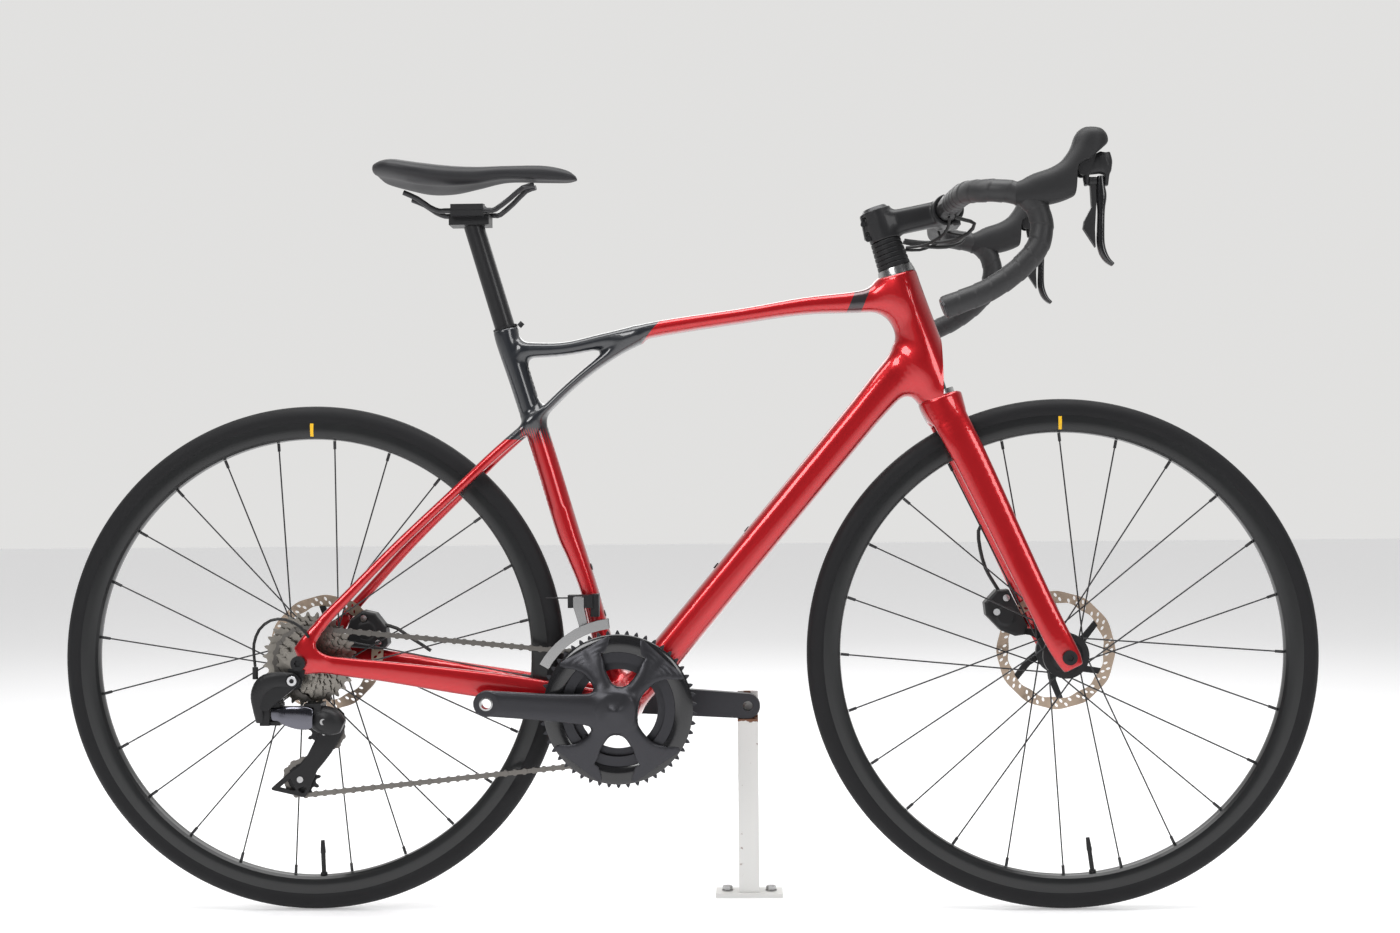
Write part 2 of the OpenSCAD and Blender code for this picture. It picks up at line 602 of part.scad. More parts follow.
// Silver bearing cover and the ribbed spacer rings
module headset_spacers() on_steerer() {
    color(silver) difference() {
        translate([0, 0, head_top + 0.4]) cylinder(r1 = 25.4, r2 = 21.5, h = cover_h);
        cylinder(d = steerer_d + 2 * seat_gap, h = 700);
    }
    color(black) for (i = [0 : spacer_count - 1]) difference() {
        translate([0, 0, spacer_low + i * (spacer_h + 0.1)]) cylinder(d = 40, h = spacer_h);
        cylinder(d = steerer_d + 2 * seat_gap, h = 700);
    }
}

// Children at the stem's middle, with X along the stem
module on_stem() translate([steer_x - stem_mid * sin(head_lean), 0, steer_z + stem_mid * cos(head_lean)])
    rotate([0, -stem_bend, 0]) children();

module stem() {
    split = stem_len - 1;
    color(black) difference() {
        union() {
            on_steerer() translate([0, 0, stem_low]) cylinder(d = 40, h = stem_h);
            on_stem() translate([4, -16.5, -17]) cube([stem_len - 12, 33, 34]);
            on_stem() intersection() {
                rod_y(stem_len, 0, 0, 21, 44);
                translate([0, -30, -30]) cube([split, 60, 60]);
            }
            on_steerer() translate([-27, -7, stem_low + 3]) cube([12, 14, stem_h - 8]);
        }
        on_stem() rod_y(stem_len, 0, 0, bar_clamp_d / 2 + seat_gap, 60);
        on_steerer() cylinder(d = steerer_d + 2 * seat_gap, h = 900);
        on_steerer() translate([-40, -1, stem_low - 1]) cube([26, 2, stem_h + 2]);
    }
    color(black) on_stem() difference() {
        union() {
            rod_y(stem_len, 0, 0, 21, 44);
            translate([stem_len, -22, -23]) cube([9, 44, 46]);
        }
        rod_y(stem_len, 0, 0, bar_clamp_d / 2 + seat_gap, 60);
        translate([-1, -30, -30]) cube([split + 2, 60, 60]);
    }
}

// Top cap, faceplate bolts and pinch bolts
module stem_bolts() color(grey) {
    on_steerer() translate([0, 0, stem_low + stem_h + 0.05]) cylinder(r1 = 19, r2 = 16, h = 4);
    on_stem() for (y = [-17, 17]) for (z = [-19.5, 19.5])
        translate([stem_len + 9.02, y, z]) rotate([0, 90, 0]) cylinder(d = 7, h = 3.5);
    on_steerer() for (h = [8, stem_h - 13]) translate([-22, -7.02, stem_low + h])
        rotate([90, 0, 0]) cylinder(d = 7, h = 3);
}

// Middle line of the right half of the handlebar, from the stem to the end of the drop
bar_line = [[bar_x, 0, bar_z], [bar_x, -56, bar_z], [bar_x + 2, -120, bar_z - 1], [bar_x + 6, -165, bar_z - 3],
    [bar_x + 20, -193, bar_z - 6], [395, -204, 919.5], [420, -207.5, 914], [437, -208.5, 900],
    [444.5, -209, 877], [440, -209.5, 852], [427, -210, 834], [406, -211, 815], [375, -212, 796],
    [326, -213, 777]];

module handlebar() {
    p = concat([[bar_x, 5, bar_z]], smooth(bar_line, 2));
    r = [for (q = p) abs(q[1]) < 57 ? bar_clamp_d / 2 - 0.02 : bar_d / 2];
    color(black) both_sides() polyhedron([for (s = path_rings(p, r, 16)) each s], skin(len(p), 16));
}

// Wound tape as a sleeve on each side, with its end plug
module bar_tape() {
    p = [for (q = smooth(bar_line, 2)) if (q[1] < -66) q];
    n = 16;
    m = len(p);
    inner = path_rings(p, [for (q = p) bar_d / 2 + seat_gap], n);
    outer = path_rings(p, [for (q = p) bar_d / 2 + tape_t], n);
    flip = [for (f = skin(m, n, false)) [f[2] + m * n, f[1] + m * n, f[0] + m * n]];
    lids = [for (j = [0 : n - 1]) let (k = (j + 1) % n, e = (m - 1) * n)
        each [[j, k, m * n + k], [j, m * n + k, m * n + j],
            [e + k, e + j, m * n + e + j], [e + k, m * n + e + j, m * n + e + k]]];
    tip = bar_line[len(bar_line) - 1];
    color(black) both_sides() {
        polyhedron(concat([for (s = outer) each s], [for (s = inner) each s]),
            concat(skin(m, n, false), flip, lids));
        translate(tip) rotate([0, -111, 0]) translate([0, 0, 0.7]) cylinder(d = bar_d + 2 * tape_t, h = 3);
    }
}

// ---- brake and shift levers ----

module hoods() color(black) both_sides() difference() {
    loft([[421, -208, 913.5, 31, 32, 2.3], [440, -209, 919, 40, 35, 2.3],
    [463, -lever_half, 925, 43, 37, 2.4], [482, -lever_half, 936, 44, 37, 2.4],
    [495, -lever_half, 953, 43, 36, 2.4], [502, -lever_half, 972, 40, 33, 2.3],
    [505, -lever_half, 987, 26, 23, 2.2], [506, -lever_half, 992.5, 10, 10, 2]]);
    plate(-lever_half - 30, 30 - lever_half) polygon([[484, 880], [485, 938], [487, 946], [492, 950], [500, 953],
        [529, 978], [560, 978], [560, 880]]);
}

// Bracket ears that carry the lever pin
module lever_brackets() both_sides() translate([0, -lever_half, 0]) {
    color(black) for (y = [-10.5, 7.5]) difference() {
        plate(y, y + 3) hull() {
            translate([pivot_x, pivot_z]) circle(r = 7, $fn = 32);
            translate([503, 960]) circle(r = 6, $fn = 32);
        }
        rod_y(pivot_x, 0, pivot_z, 2.5 + seat_gap, 40);
    }
    color(silver) rod_y(pivot_x, 0, pivot_z, 2.5, 21.4);
}

// The carrier turns on the lever pin and holds a second pin for blade and paddle
module lever_carrier(side) translate([0, side * lever_half, 0]) {
    color(black) difference() {
        union() {
            rod_y(pivot_x, 0, pivot_z, 6.5, 14);
            plate(-7, 7) polygon([[490, 946.5], [526, 966], [529, 959], [524, 921], [519.3, 921],
                [519.3, 936.3], [501, 936.3], [501, 921], [496, 921], [488, 938]]);
        }
        rod_y(pivot_x, 0, pivot_z, 2.5 + run, 30);
        rod_x(480, 530, 0, swing_z, 2);
    }
    color(silver) rod_x(496.2, 523.8, 0, swing_z, 2);
}

module brake_blade(side) color(black) translate([0, side * lever_half, 0]) difference() {
    union() {
        rod_x(510.3, 519, 0, swing_z, 6.5);
        plate(-6.5, 6.5) polygon([[510.3, 926], [519, 926], [519, 916], [521.5, 911], [519.5, 893], [519, 850], [523, 838],
            [531, 829], [529, 825], [524, 826.5], [513.5, 838], [510.5, 852], [512, 893]]);
    }
    rod_x(500, 530, 0, swing_z, 2 + run);
}

module shift_paddle(side) color(grey) translate([0, side * lever_half, 0]) difference() {
    union() {
        rod_x(501.3, 510, 0, swing_z, 5.5);
        plate(-4, 4) polygon([[502.5, 926], [509, 926], [509.6, 905], [507.5, 870], [508, 848], [493.5, 871],
            [495, 880], [504, 897]]);
    }
    rod_x(490, 530, 0, swing_z, 2 + run);
}

// Routes of the hoses under the bar: from the tape to the front of the spacers
hose_brake = [[358, -62.5, 910.6], [370, -59.5, 907.5], [384, -55, 903], [377, -42, 892], [357, -30, 885],
    [334, -20, 884], [314, -13, 886], [297, -9, 889]];
hose_shift = [[350, -63, 910.75], [351, -56, 904], [347, -44, 893], [336, -30, 886], [320, -20, 880],
    [299, -11, 879]];
// Route of the front hose down the fork's left blade to the caliper
hose_fork = [[404, 34, 512], [397, 35, 500], [399, 36, 476], [406, 37, 450], [417, 38, 430], [427, 39, 414]];

module front_hoses() color(black) {
    both_sides() {
        cord(hose_brake, hose_d, 2);
        cord(hose_shift, 4, 2);
    }
    cord(hose_fork, hose_d, 2);
}

// ---- drivetrain ----

module crank_end(x, z, y0, y1) difference() {
    plate(y0, y1) hull() {
        translate([x, z]) circle(r = crank_end_r, $fn = 48);
        translate([bb_x + (x - bb_x) * 0.15, bb_z + (z - bb_z) * 0.15]) circle(r = 19, $fn = 48);
    }
    rod_y(x, (y0 + y1) / 2, z, pedal_bore_d / 2, 60);
}

// Right crank with its four-armed spider and the spindle
module crank_right() color(grey) {
    right_x = bb_x - crank_len * cos(crank_tilt);
    right_z = bb_z + crank_len * sin(crank_tilt);
    crank_end(right_x, right_z, crank_right_y, crank_right_y + crank_t);
    plate(-63, outer_ring_y - 2.1) translate([bb_x, bb_z]) difference() {
        union() {
            circle(r = 26);
            for (a = [45, 135, 225, 315]) rotate(a - crank_tilt) translate([0, -8]) square([84, 16]);
        }
        circle(d = spindle_d);
    }
    rod_y(bb_x, (crank_left_y + crank_t - 64) / 2, bb_z, spindle_d / 2, crank_left_y + crank_t + 64);
}

module crank_left() color(grey) difference() {
    crank_end(left_eye_x, left_eye_z, crank_left_y, crank_left_y + crank_t);
    rod_y(bb_x, crank_left_y, bb_z, spindle_d / 2 + seat_gap, 60);
}

// Outer ring with its hollow rim, and the inner ring
module chainrings() {
    color(black) difference() {
        union() {
            toothed(outer_teeth, 0, bb_x, bb_z, outer_ring_y, cog_t);
            rod_y(bb_x, outer_ring_y - 0.5, bb_z, 95, 3);
        }
        rod_y(bb_x, outer_ring_y, bb_z, 62, 20);
    }
    color(grey) difference() {
        toothed(inner_teeth, mesh_phase(1), bb_x, bb_z, chain_y, cog_t);
        rod_y(bb_x, chain_y, bb_z, 52, 20);
    }
    color(silver) for (a = [45, 135, 225, 315]) rotate_bb(a - crank_tilt)
        rod_y(bb_x + 58, (chain_y - 0.95 + outer_ring_y + 1) / 2, bb_z, 4, 4.1);
}

// Children turned about the crank axle
module rotate_bb(a) translate([bb_x, 0, bb_z]) rotate([0, -a, 0]) translate([-bb_x, 0, -bb_z]) children();

module cassette() {
    color(steel) for (i = [0 : len(cog_teeth) - 1]) {
        y = chain_y + (i - chain_cog) * cog_step;
        difference() {
            toothed(cog_teeth[i], i == chain_cog ? mesh_phase(0) : 11 * i, rear_x, axle_z, y, cog_t);
            rod_y(rear_x, y, axle_z, 17, 10);
            if (cog_teeth[i] > 19) for (a = [0 : 60 : 300]) translate([rear_x, 0, axle_z])
                rotate([0, a, 0]) rod_y(pitch_r(cog_teeth[i]) - 13, y, 0, 4.5, 10);
        }
    }
    y0 = chain_y - chain_cog * cog_step;
    color(grey) difference() {
        rod_y(rear_x, (y0 + chain_y + 3 * cog_step) / 2, axle_z, 16.95, chain_y + 3 * cog_step - y0 + 4.4);
        rod_y(rear_x, -50, axle_z, 10.4, 90);
    }
}

// One link between two pins p and q in the side plane
module link(p, q, outer) {
    d = q - p;
    in_y = outer ? 1.9 : 1.1;
    out_y = outer ? 2.65 : 1.85;
    l = norm(d);
    translate([p[0], chain_y, p[1]]) rotate([0, -atan2(d[1], d[0]), 0]) rotate([90, 0, 0]) {
        for (s = [-1, 1]) translate([0, 0, s > 0 ? in_y : -out_y]) linear_extrude(out_y - in_y) difference() {
            union() {
                circle(r = 4.1, $fn = 24);
                translate([l, 0]) circle(r = 4.1, $fn = 24);
                translate([0, -2.8]) square([l, 5.6]);
            }
            if (!outer) for (x = [0, l]) translate([x, 0]) circle(r = 1.95, $fn = 16);
        }
        for (x = [0, l]) translate([x, 0, 0]) difference() {
            cylinder(r = outer ? 1.8 : 3.85, h = outer ? 2 * out_y : 2 * in_y, center = true, $fn = 24);
            if (!outer) cylinder(r = 1.95, h = 10, center = true, $fn = 16);
        }
    }
}

module chain() color(steel) for (i = [0 : link_count - 1])
    link(loop_point(i * link_step), loop_point(((i + 1) % link_count) * link_step), i % 2 == 0);

// ---- rear derailleur ----

link_len = 43;
base_pin_x = -531;
link_low = 262;
link_high = 280;
outer_link_y = -76;
inner_link_y = -64;
hang_x = -506.5;
hang_z = 316;

module rd_base() {
    pin_h = link_high - link_low + 8;
    color(black) {
        difference() {
            plate(-90, -83) hull() {
                translate([hang_x, hang_z]) circle(r = 9, $fn = 32);
                translate([-548, 309]) circle(r = 9, $fn = 32);
                translate([-542, 284]) circle(r = 7, $fn = 32);
            }
            rod_y(hang_x, -86, hang_z, 5 + seat_gap, 20);
        }
        translate([-551, -84, link_low - 5]) cube([12.5, 26, 40]);
        for (z = [link_low - 5, link_high + side_gap]) translate([-551, -81, z])
            cube([26, 22, 4.7]);
        rod_z(-556.5, -84, 318, 333.5, 3.6);
    }
    color(silver) {
        for (y = [outer_link_y, inner_link_y]) rod_z(base_pin_x, y, link_low - 0.3, link_high + 0.3, 2.4);
        rod_y(hang_x, -85, hang_z, 5, 14);
        socket_head(hang_x, -90.05, hang_z, 7, 3, -1);
    }
}

// A cylinder along Z from z0 to z1
module rod_z(x, y, z0, z1, r) translate([x, y, z0]) cylinder(r = r, h = z1 - z0);

module rd_link(y, t) difference() {
    union() {
        for (x = [base_pin_x, base_pin_x + link_len]) rod_z(x, y, link_low, link_high, 4.6);
        translate([base_pin_x, y - t / 2, link_low]) cube([link_len, t, link_high - link_low]);
    }
    for (x = [base_pin_x, base_pin_x + link_len]) rod_z(x, y, 200, 300, 2.4 + run);
}

// Lower knuckle, with its boss for the cage spring
module rd_knuckle() {
    px = base_pin_x + link_len;
    color(black) difference() {
        union() {
            for (z = [link_low - 5, link_high + side_gap]) translate([px - 6, -81, z]) cube([22, 22, 4.7]);
            translate([px + 7, -81, link_low - 5]) cube([9, 28, link_high - link_low + 10]);
            rod_y(cage_pivot_x, -67, cage_pivot_z, 13, 30);
        }
        rod_y(cage_pivot_x, -60, cage_pivot_z, 4 + run, 60);
        rod_z(px, outer_link_y, link_low, link_high + side_gap - 0.01, 5.2);
        rod_z(px, inner_link_y, link_low, link_high + side_gap - 0.01, 5.2);
        translate([px - 10, -82, link_low - side_gap]) cube([15, 24, link_high - link_low + 2 * side_gap]);
    }
    color(silver) for (y = [outer_link_y, inner_link_y])
        rod_z(px, y, link_low - 0.3, link_high + 0.3, y == outer_link_y ? 2.4 : 2.2);
}

module rd_cage() {
    color(black) {
        plate(chain_y - 9, chain_y - 7) hull() {
            translate([cage_pivot_x, cage_pivot_z]) circle(r = 11, $fn = 32);
            translate([guide_x, guide_z]) circle(r = 10, $fn = 32);
            translate([-485, 215]) circle(r = 8, $fn = 24);
        }
        plate(chain_y - 9, chain_y - 7) hull() {
            translate([-483, 222]) circle(r = 8, $fn = 24);
            translate([tension_x, tension_z]) circle(r = 11, $fn = 32);
        }
        plate(chain_y - 9, chain_y - 7) polygon([[-516, 188], [-548, 168], [-548, 165], [-509, 157], [-500, 175]]);
        plate(chain_y + 6.5, chain_y + 8) hull() {
            translate([guide_x, guide_z]) circle(r = 9, $fn = 32);
            translate([tension_x, tension_z]) circle(r = 10, $fn = 32);
        }
    }
    color(silver) {
        rod_y(cage_pivot_x, -65, cage_pivot_z, 4, 33);
        rod_y(guide_x, chain_y, guide_z, 2.5, 18.5);
        rod_y(tension_x, chain_y, tension_z, 2.5, 18.5);
    }
}

module pulley(x, z, phase) color(black) difference() {
    union() {
        toothed(pulley_teeth, phase, x, z, chain_y, 2);
        rod_y(x, chain_y, z, 6, 8);
    }
    rod_y(x, chain_y, z, 2.5 + run, 30);
}

// ---- seat ----

module seatpost() {
    color(black) {
        on_seat_axis() translate([0, 0, seat_tube_len - 185]) cylinder(d = seatpost_d, h = rail_height - seat_tube_len + 168);
        difference() {
            union() {
                translate([rail_x - 26, -16, rail_z - 18]) cube([54, 32, 14]);
                translate([rail_x - 22, -26, rail_z - 7.5]) cube([44, 52, 7]);
            }
            both_sides() rod_x(rail_x - 60, rail_x + 60, -rail_gap / 2, rail_z, rail_d / 2 + run);
        }
        difference() {
            translate([rail_x - 22, -26, rail_z + 0.5]) cube([44, 52, 8]);
            both_sides() rod_x(rail_x - 60, rail_x + 60, -rail_gap / 2, rail_z, rail_d / 2 + run);
        }
    }
    color(grey) for (x = [-16, 16]) rod_z(rail_x + x, 0, rail_z + 8.55, rail_z + 12, 4);
}

module saddle_rails() color(black) both_sides() cord([[rail_x - 84, -30, rail_z + 24], [rail_x - 66, -27, rail_z + 16],
    [rail_x - 50, -23, rail_z + 5], [rail_x - 38, -rail_gap / 2, rail_z], [rail_x - 31, -rail_gap / 2, rail_z],
    [rail_x - 25, -rail_gap / 2, rail_z], [rail_x + 25, -rail_gap / 2, rail_z], [rail_x + 31, -rail_gap / 2, rail_z], [rail_x + 38, -rail_gap / 2, rail_z + 1], [rail_x + 56, -19, rail_z + 15],
    [rail_x + 74, -14, rail_z + 31], [rail_x + 88, -10, rail_z + 35]], rail_d, 2, 12);

// Padded shell: cross sections from tail to nose, [distance, half width, top, bottom]
module saddle() color(black) {
    nose_x = rail_x + 145;
    k = saddle_len / 270;
    w = saddle_w / 2;
    sections = smooth([[0, 0.42 * w, 991, 985], [6, 0.72 * w, 999, 979], [28, 0.96 * w, 1003.5, 972],
        [62, 0.98 * w, 999, 964], [98, 0.76 * w, 996, 962], [135, 0.46 * w, 995.5, 966],
        [175, 0.31 * w, 997, 973], [225, 0.26 * w, 997, 971], [255, 0.21 * w, 991, 971],
        [267, 0.12 * w, 984, 974], [270, 0.04 * w, 980, 976]], 2);
    n = 20;
    dz = rail_z - 935;
    polyhedron([for (s = sections) for (q = oval(1, 1, 2.5, n)) [nose_x - saddle_len + s[0] * k, -s[1] * q[1],
        (s[2] + s[3]) / 2 + (s[2] - s[3]) / 2 * q[0] + dz]], skin(len(sections), n));
}

// ---- stand ----

module stand() {
    top = left_eye_z - crank_end_r - 0.6;
    tab = top + post_tab;
    color([0.86, 0.86, 0.84]) {
        difference() {
            translate([post_x - post_w / 2, post_y, foot_t]) cube([post_w, post_w, tab - foot_t]);
            translate([post_x - post_w / 2 + post_wall, post_y + post_wall, 30])
                cube([post_w - 2 * post_wall, post_w - 2 * post_wall, tab]);
            translate([post_x - post_w, post_y - 1, top]) cube([2 * post_w, post_w - post_wall + 1, tab]);
        }
        difference() {
            translate([post_x - foot_len / 2, post_y + post_w / 2 - foot_w / 2, 0]) cube([foot_len, foot_w, foot_t]);
            for (s = [-1, 1]) rod_z(post_x + s * 30, post_y + post_w / 2, -1, foot_t + 1, 4.2);
        }
    }
}

module stand_bolts() color(silver) for (s = [-1, 1]) translate([post_x + s * 30, post_y + post_w / 2, 0]) {
    translate([0, 0, foot_t + 0.02]) cylinder(r = 8, h = 1.4);
    translate([0, 0, foot_t + 1.4]) cylinder(r = 6.9, h = 5, $fn = 6);
    translate([0, 0, 0.3]) cylinder(r = 4, h = foot_t + 2);
}

// ---- what is drawn ----

head_tube();
top_tube();
down_tube();
seat_tube();
bb_shell();
seat_stays();
chain_stays();
dropouts();
rear_thru_axle();
frame_bearings();
frame_hardware();
rear_caliper();
frame_cables();
fd_base();
fd_cage();
fork_crown();
fork_blades();
headset_spacers();
stem();
stem_bolts();
handlebar();
bar_tape();
hoods();
lever_brackets();
front_caliper();
front_hoses();
front_thru_axle();
lever_carrier(-1);  // lever_carrier_right
lever_carrier(1);  // lever_carrier_left
brake_blade(-1);  // brake_blade_right
brake_blade(1);  // brake_blade_left
shift_paddle(-1);  // shift_paddle_right
shift_paddle(1);  // shift_paddle_left
tyre(front_x);  // front_tyre
rim(front_x, -82.5);  // front_rim
spokes(front_x, 0, 3, -34, 22);  // front_spokes
hub_shell(front_x, front_drop_y, -34, 22, 13);  // front_hub
rotor(front_x, front_rotor_y);  // front_rotor
tyre(rear_x);  // rear_tyre
rim(rear_x, -88);  // rear_rim
spokes(rear_x, 9.5, 0, -19, 34);  // rear_spokes
rear_hub();
rotor(rear_x, rear_rotor_y);  // rear_rotor
cassette();
crank_right();
crank_left();
chainrings();
chain();
rd_base();
color(silver) rd_link(outer_link_y, 6);  // rd_outer_link
color(black) rd_link(inner_link_y, 5);  // rd_inner_link
rd_knuckle();
rd_cage();
pulley(guide_x, guide_z, mesh_phase(3));  // guide_pulley
pulley(tension_x, tension_z, mesh_phase(2));  // tension_pulley
seatpost();
saddle_rails();
saddle();
stand();
stand_bolts();
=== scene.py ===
"""Looks of a road bicycle with disc brakes that rests by its left crank on a steel post stand.

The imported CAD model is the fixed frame. This script paints it and replaces the nodes whose real
shapes flow into each other (carbon frame and fork, hoods, cranks, saddle, derailleur) by smooth
pieces. Those are blended distance fields, revolved profiles and lofted skins. All sizes are in
millimetres in the row frame and become metres where a mesh is made.
"""

from __future__ import annotations

import json
import logging
import math
from dataclasses import dataclass
from enum import Enum
from typing import Callable, Iterable, Sequence

import bpy
import numpy as np
import openvdb
from mathutils import Matrix, Vector, geometry

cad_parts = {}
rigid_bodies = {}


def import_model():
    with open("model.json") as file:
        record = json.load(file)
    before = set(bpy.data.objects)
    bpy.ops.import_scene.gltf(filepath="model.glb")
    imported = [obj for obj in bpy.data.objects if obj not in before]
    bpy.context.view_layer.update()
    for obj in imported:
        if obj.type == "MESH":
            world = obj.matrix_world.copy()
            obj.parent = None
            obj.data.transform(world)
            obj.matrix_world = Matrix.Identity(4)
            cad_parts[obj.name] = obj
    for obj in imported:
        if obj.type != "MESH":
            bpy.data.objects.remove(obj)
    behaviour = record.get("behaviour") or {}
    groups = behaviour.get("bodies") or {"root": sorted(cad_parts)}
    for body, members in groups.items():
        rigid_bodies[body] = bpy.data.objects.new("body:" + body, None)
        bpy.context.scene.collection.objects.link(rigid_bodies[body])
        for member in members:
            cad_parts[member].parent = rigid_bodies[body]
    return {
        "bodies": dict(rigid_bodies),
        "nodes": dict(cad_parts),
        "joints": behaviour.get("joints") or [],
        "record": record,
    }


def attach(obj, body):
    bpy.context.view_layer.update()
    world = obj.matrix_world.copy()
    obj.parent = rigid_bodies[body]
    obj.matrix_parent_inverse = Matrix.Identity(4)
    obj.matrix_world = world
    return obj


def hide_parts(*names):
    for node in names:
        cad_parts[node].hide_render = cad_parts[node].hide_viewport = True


LOG = logging.getLogger("bicycle")
MM = 0.001

# Named positions of the bicycle, in millimetres, shared with the CAD source.
REAR_AXLE = (-500.0, 338.0)
FRONT_AXLE = (500.0, 338.0)
CRANK_AXLE = (-87.24, 272.0)
HEAD_LEAN = 18.0
SEAT_LEAN = 16.7
CRANK_TILT = 3.7
CRANK_LEN = 170.0
LEVER_Y = 210.0
BAR_CLAMP = (354.0, 927.4)
HANGER_BOLT = (-506.5, 316.0)
GUIDE_AXLE = (-475.8, 242.0)
TENSION_AXLE = (-507.76, 181.5)
ROTOR_Y = {"front": 39.5, "rear": 55.7}
TYRE_R = 338.0
TYRE_MID = 324.0
TYRE_HALF = 14.0
TYRE_SKIN = 2.2
STAY_GAP_R = 346.0
FORK_GAP_R = 345.0
AXLE_BORE_R = 6.1

Station = Sequence[float]

CARBON_RED = (0.5, 0.003, 0.008, 1.0)
# Darker red mixed in towards the silhouettes: painted shade on the sides of the tubes.
CARBON_RED_SIDE_SHADE = (0.2, 0.0015, 0.004, 1.0)
PAINT_BLACK = (0.006, 0.008, 0.012, 1.0)
STRIPE_BLACK = (0.035, 0.03, 0.034, 1.0)


class Finish(Enum):
    """The finishes of the bicycle, by the record's material slot they stand for."""

    FRAME = "carbon_red"
    FORK = "carbon_red_fork"
    SATIN = "carbon_black"
    BLACK = "black_alu"
    GLOSS_BLACK = "black_alu_gloss"
    GREY = "grey_alu"
    STEEL = "steel"
    DARK_STEEL = "steel_dark"
    POLISHED = "steel_polished"
    COGS = "steel_cogs"
    CHAIN = "steel_chain"
    ROTOR = "rotor_steel"
    TYRE = "tyre"
    RUBBER = "rubber"
    TAPE = "tape"
    HOSE = "hose"
    PLASTIC = "plastic"
    SADDLE = "saddle_cover"
    STAND = "stand_steel"
    MARK = "rim_mark"
    SMOKED = "steel_smoked"
    RIM = "carbon_black_rim"


@dataclass(frozen=True)
class Look:
    """Numbers of one plain finish.

    Attributes:
        color: linear base colour.
        metallic: 0 for a dielectric, 1 for a bare metal.
        roughness: mean roughness.
        coat: weight of the clear coat.
        grain: size of the surface grain in millimetres, 0 for none.
        bump: depth of the grain in millimetres.
        vary: how far the roughness wanders around its mean.
        specular: strength of the reflection of a dielectric.
    """

    color: tuple[float, float, float]
    metallic: float = 0.0
    roughness: float = 0.5
    coat: float = 0.0
    grain: float = 0.0
    bump: float = 0.0
    vary: float = 0.05
    specular: float = 0.35


LOOKS: dict[Finish, Look] = {
    Finish.SATIN: Look((0.012, 0.012, 0.013), roughness=0.38, coat=0.15),
    Finish.BLACK: Look((0.018, 0.018, 0.019), metallic=0.35, roughness=0.42, grain=0.4, bump=0.01),
    Finish.GLOSS_BLACK: Look((0.01, 0.01, 0.011), roughness=0.2, coat=0.6),
    Finish.GREY: Look((0.045, 0.045, 0.05), metallic=0.7, roughness=0.36),
    Finish.STEEL: Look((0.42, 0.42, 0.42), metallic=1.0, roughness=0.24),
    Finish.DARK_STEEL: Look((0.05, 0.05, 0.052), metallic=0.8, roughness=0.35),
    Finish.POLISHED: Look((0.62, 0.62, 0.63), metallic=1.0, roughness=0.14),
    Finish.COGS: Look((0.3, 0.28, 0.25), metallic=1.0, roughness=0.3, grain=1.5, bump=0.01, vary=0.1),
    Finish.CHAIN: Look((0.17, 0.16, 0.148), metallic=1.0, roughness=0.34, vary=0.1),
    Finish.ROTOR: Look((0.46, 0.36, 0.28), metallic=1.0, roughness=0.34, grain=0.8, bump=0.01, vary=0.1),
    Finish.TYRE: Look((0.011, 0.011, 0.012), roughness=0.62, grain=0.9, bump=0.05, vary=0.1, specular=0.22),
    Finish.RUBBER: Look((0.014, 0.014, 0.015), roughness=0.55, grain=0.7, bump=0.03),
    Finish.HOSE: Look((0.012, 0.012, 0.012), roughness=0.4),
    Finish.PLASTIC: Look((0.016, 0.016, 0.017), roughness=0.42, grain=0.5, bump=0.01),
    Finish.SADDLE: Look((0.016, 0.016, 0.018), roughness=0.5, grain=1.1, bump=0.05),
    Finish.MARK: Look((0.86, 0.5, 0.02), roughness=0.4),
    Finish.SMOKED: Look((0.13, 0.13, 0.15), metallic=1.0, roughness=0.16),
    Finish.RIM: Look((0.011, 0.0115, 0.012), roughness=0.3, coat=0.25),
}


# ---------------------------------------------------------------------------
# Shader nodes
# ---------------------------------------------------------------------------


class ShaderBuilder:
    """Adds nodes to a tree and links them with short calls."""

    def __init__(self, tree: bpy.types.NodeTree) -> None:
        self.tree = tree

    def add(self, kind: str, **props: object) -> bpy.types.Node:
        """Returns a new node of that type, with its properties set."""
        node = self.tree.nodes.new(kind)
        for name, value in props.items():
            setattr(node, name, value)
        return node

    def feed(self, socket: bpy.types.NodeSocket, value: object) -> None:
        """Links a socket or sets it to a constant."""
        if isinstance(value, bpy.types.NodeSocket):
            self.tree.links.new(value, socket)
        else:
            socket.default_value = value

    def math(self, op: str, a: object, b: object = 0.0, clamp: bool = False) -> bpy.types.NodeSocket:
        """Returns the output of a math node."""
        node = self.add("ShaderNodeMath", operation=op, use_clamp=clamp)
        self.feed(node.inputs[0], a)
        self.feed(node.inputs[1], b)
        return node.outputs[0]

    def ramp(self, value: object, low: float, high: float) -> bpy.types.NodeSocket:
        """Returns 0 below low and 1 above high, with a straight run between."""
        node = self.add("ShaderNodeMapRange", clamp=True)
        self.feed(node.inputs["Value"], value)
        node.inputs["From Min"].default_value = low
        node.inputs["From Max"].default_value = high
        return node.outputs["Result"]

    def mix_color(self, factor: object, a: object, b: object) -> bpy.types.NodeSocket:
        """Returns a mix of two colours."""
        node = self.add("ShaderNodeMix", data_type="RGBA")
        self.feed(node.inputs[0], factor)
        self.feed(node.inputs[6], a)
        self.feed(node.inputs[7], b)
        return node.outputs[2]

    def position(self) -> tuple[bpy.types.NodeSocket, bpy.types.NodeSocket]:
        """Returns the object coordinates as a vector and as separate numbers."""
        coords = self.add("ShaderNodeTexCoord").outputs["Object"]
        split = self.add("ShaderNodeSeparateXYZ")
        self.tree.links.new(coords, split.inputs[0])
        return coords, split.outputs


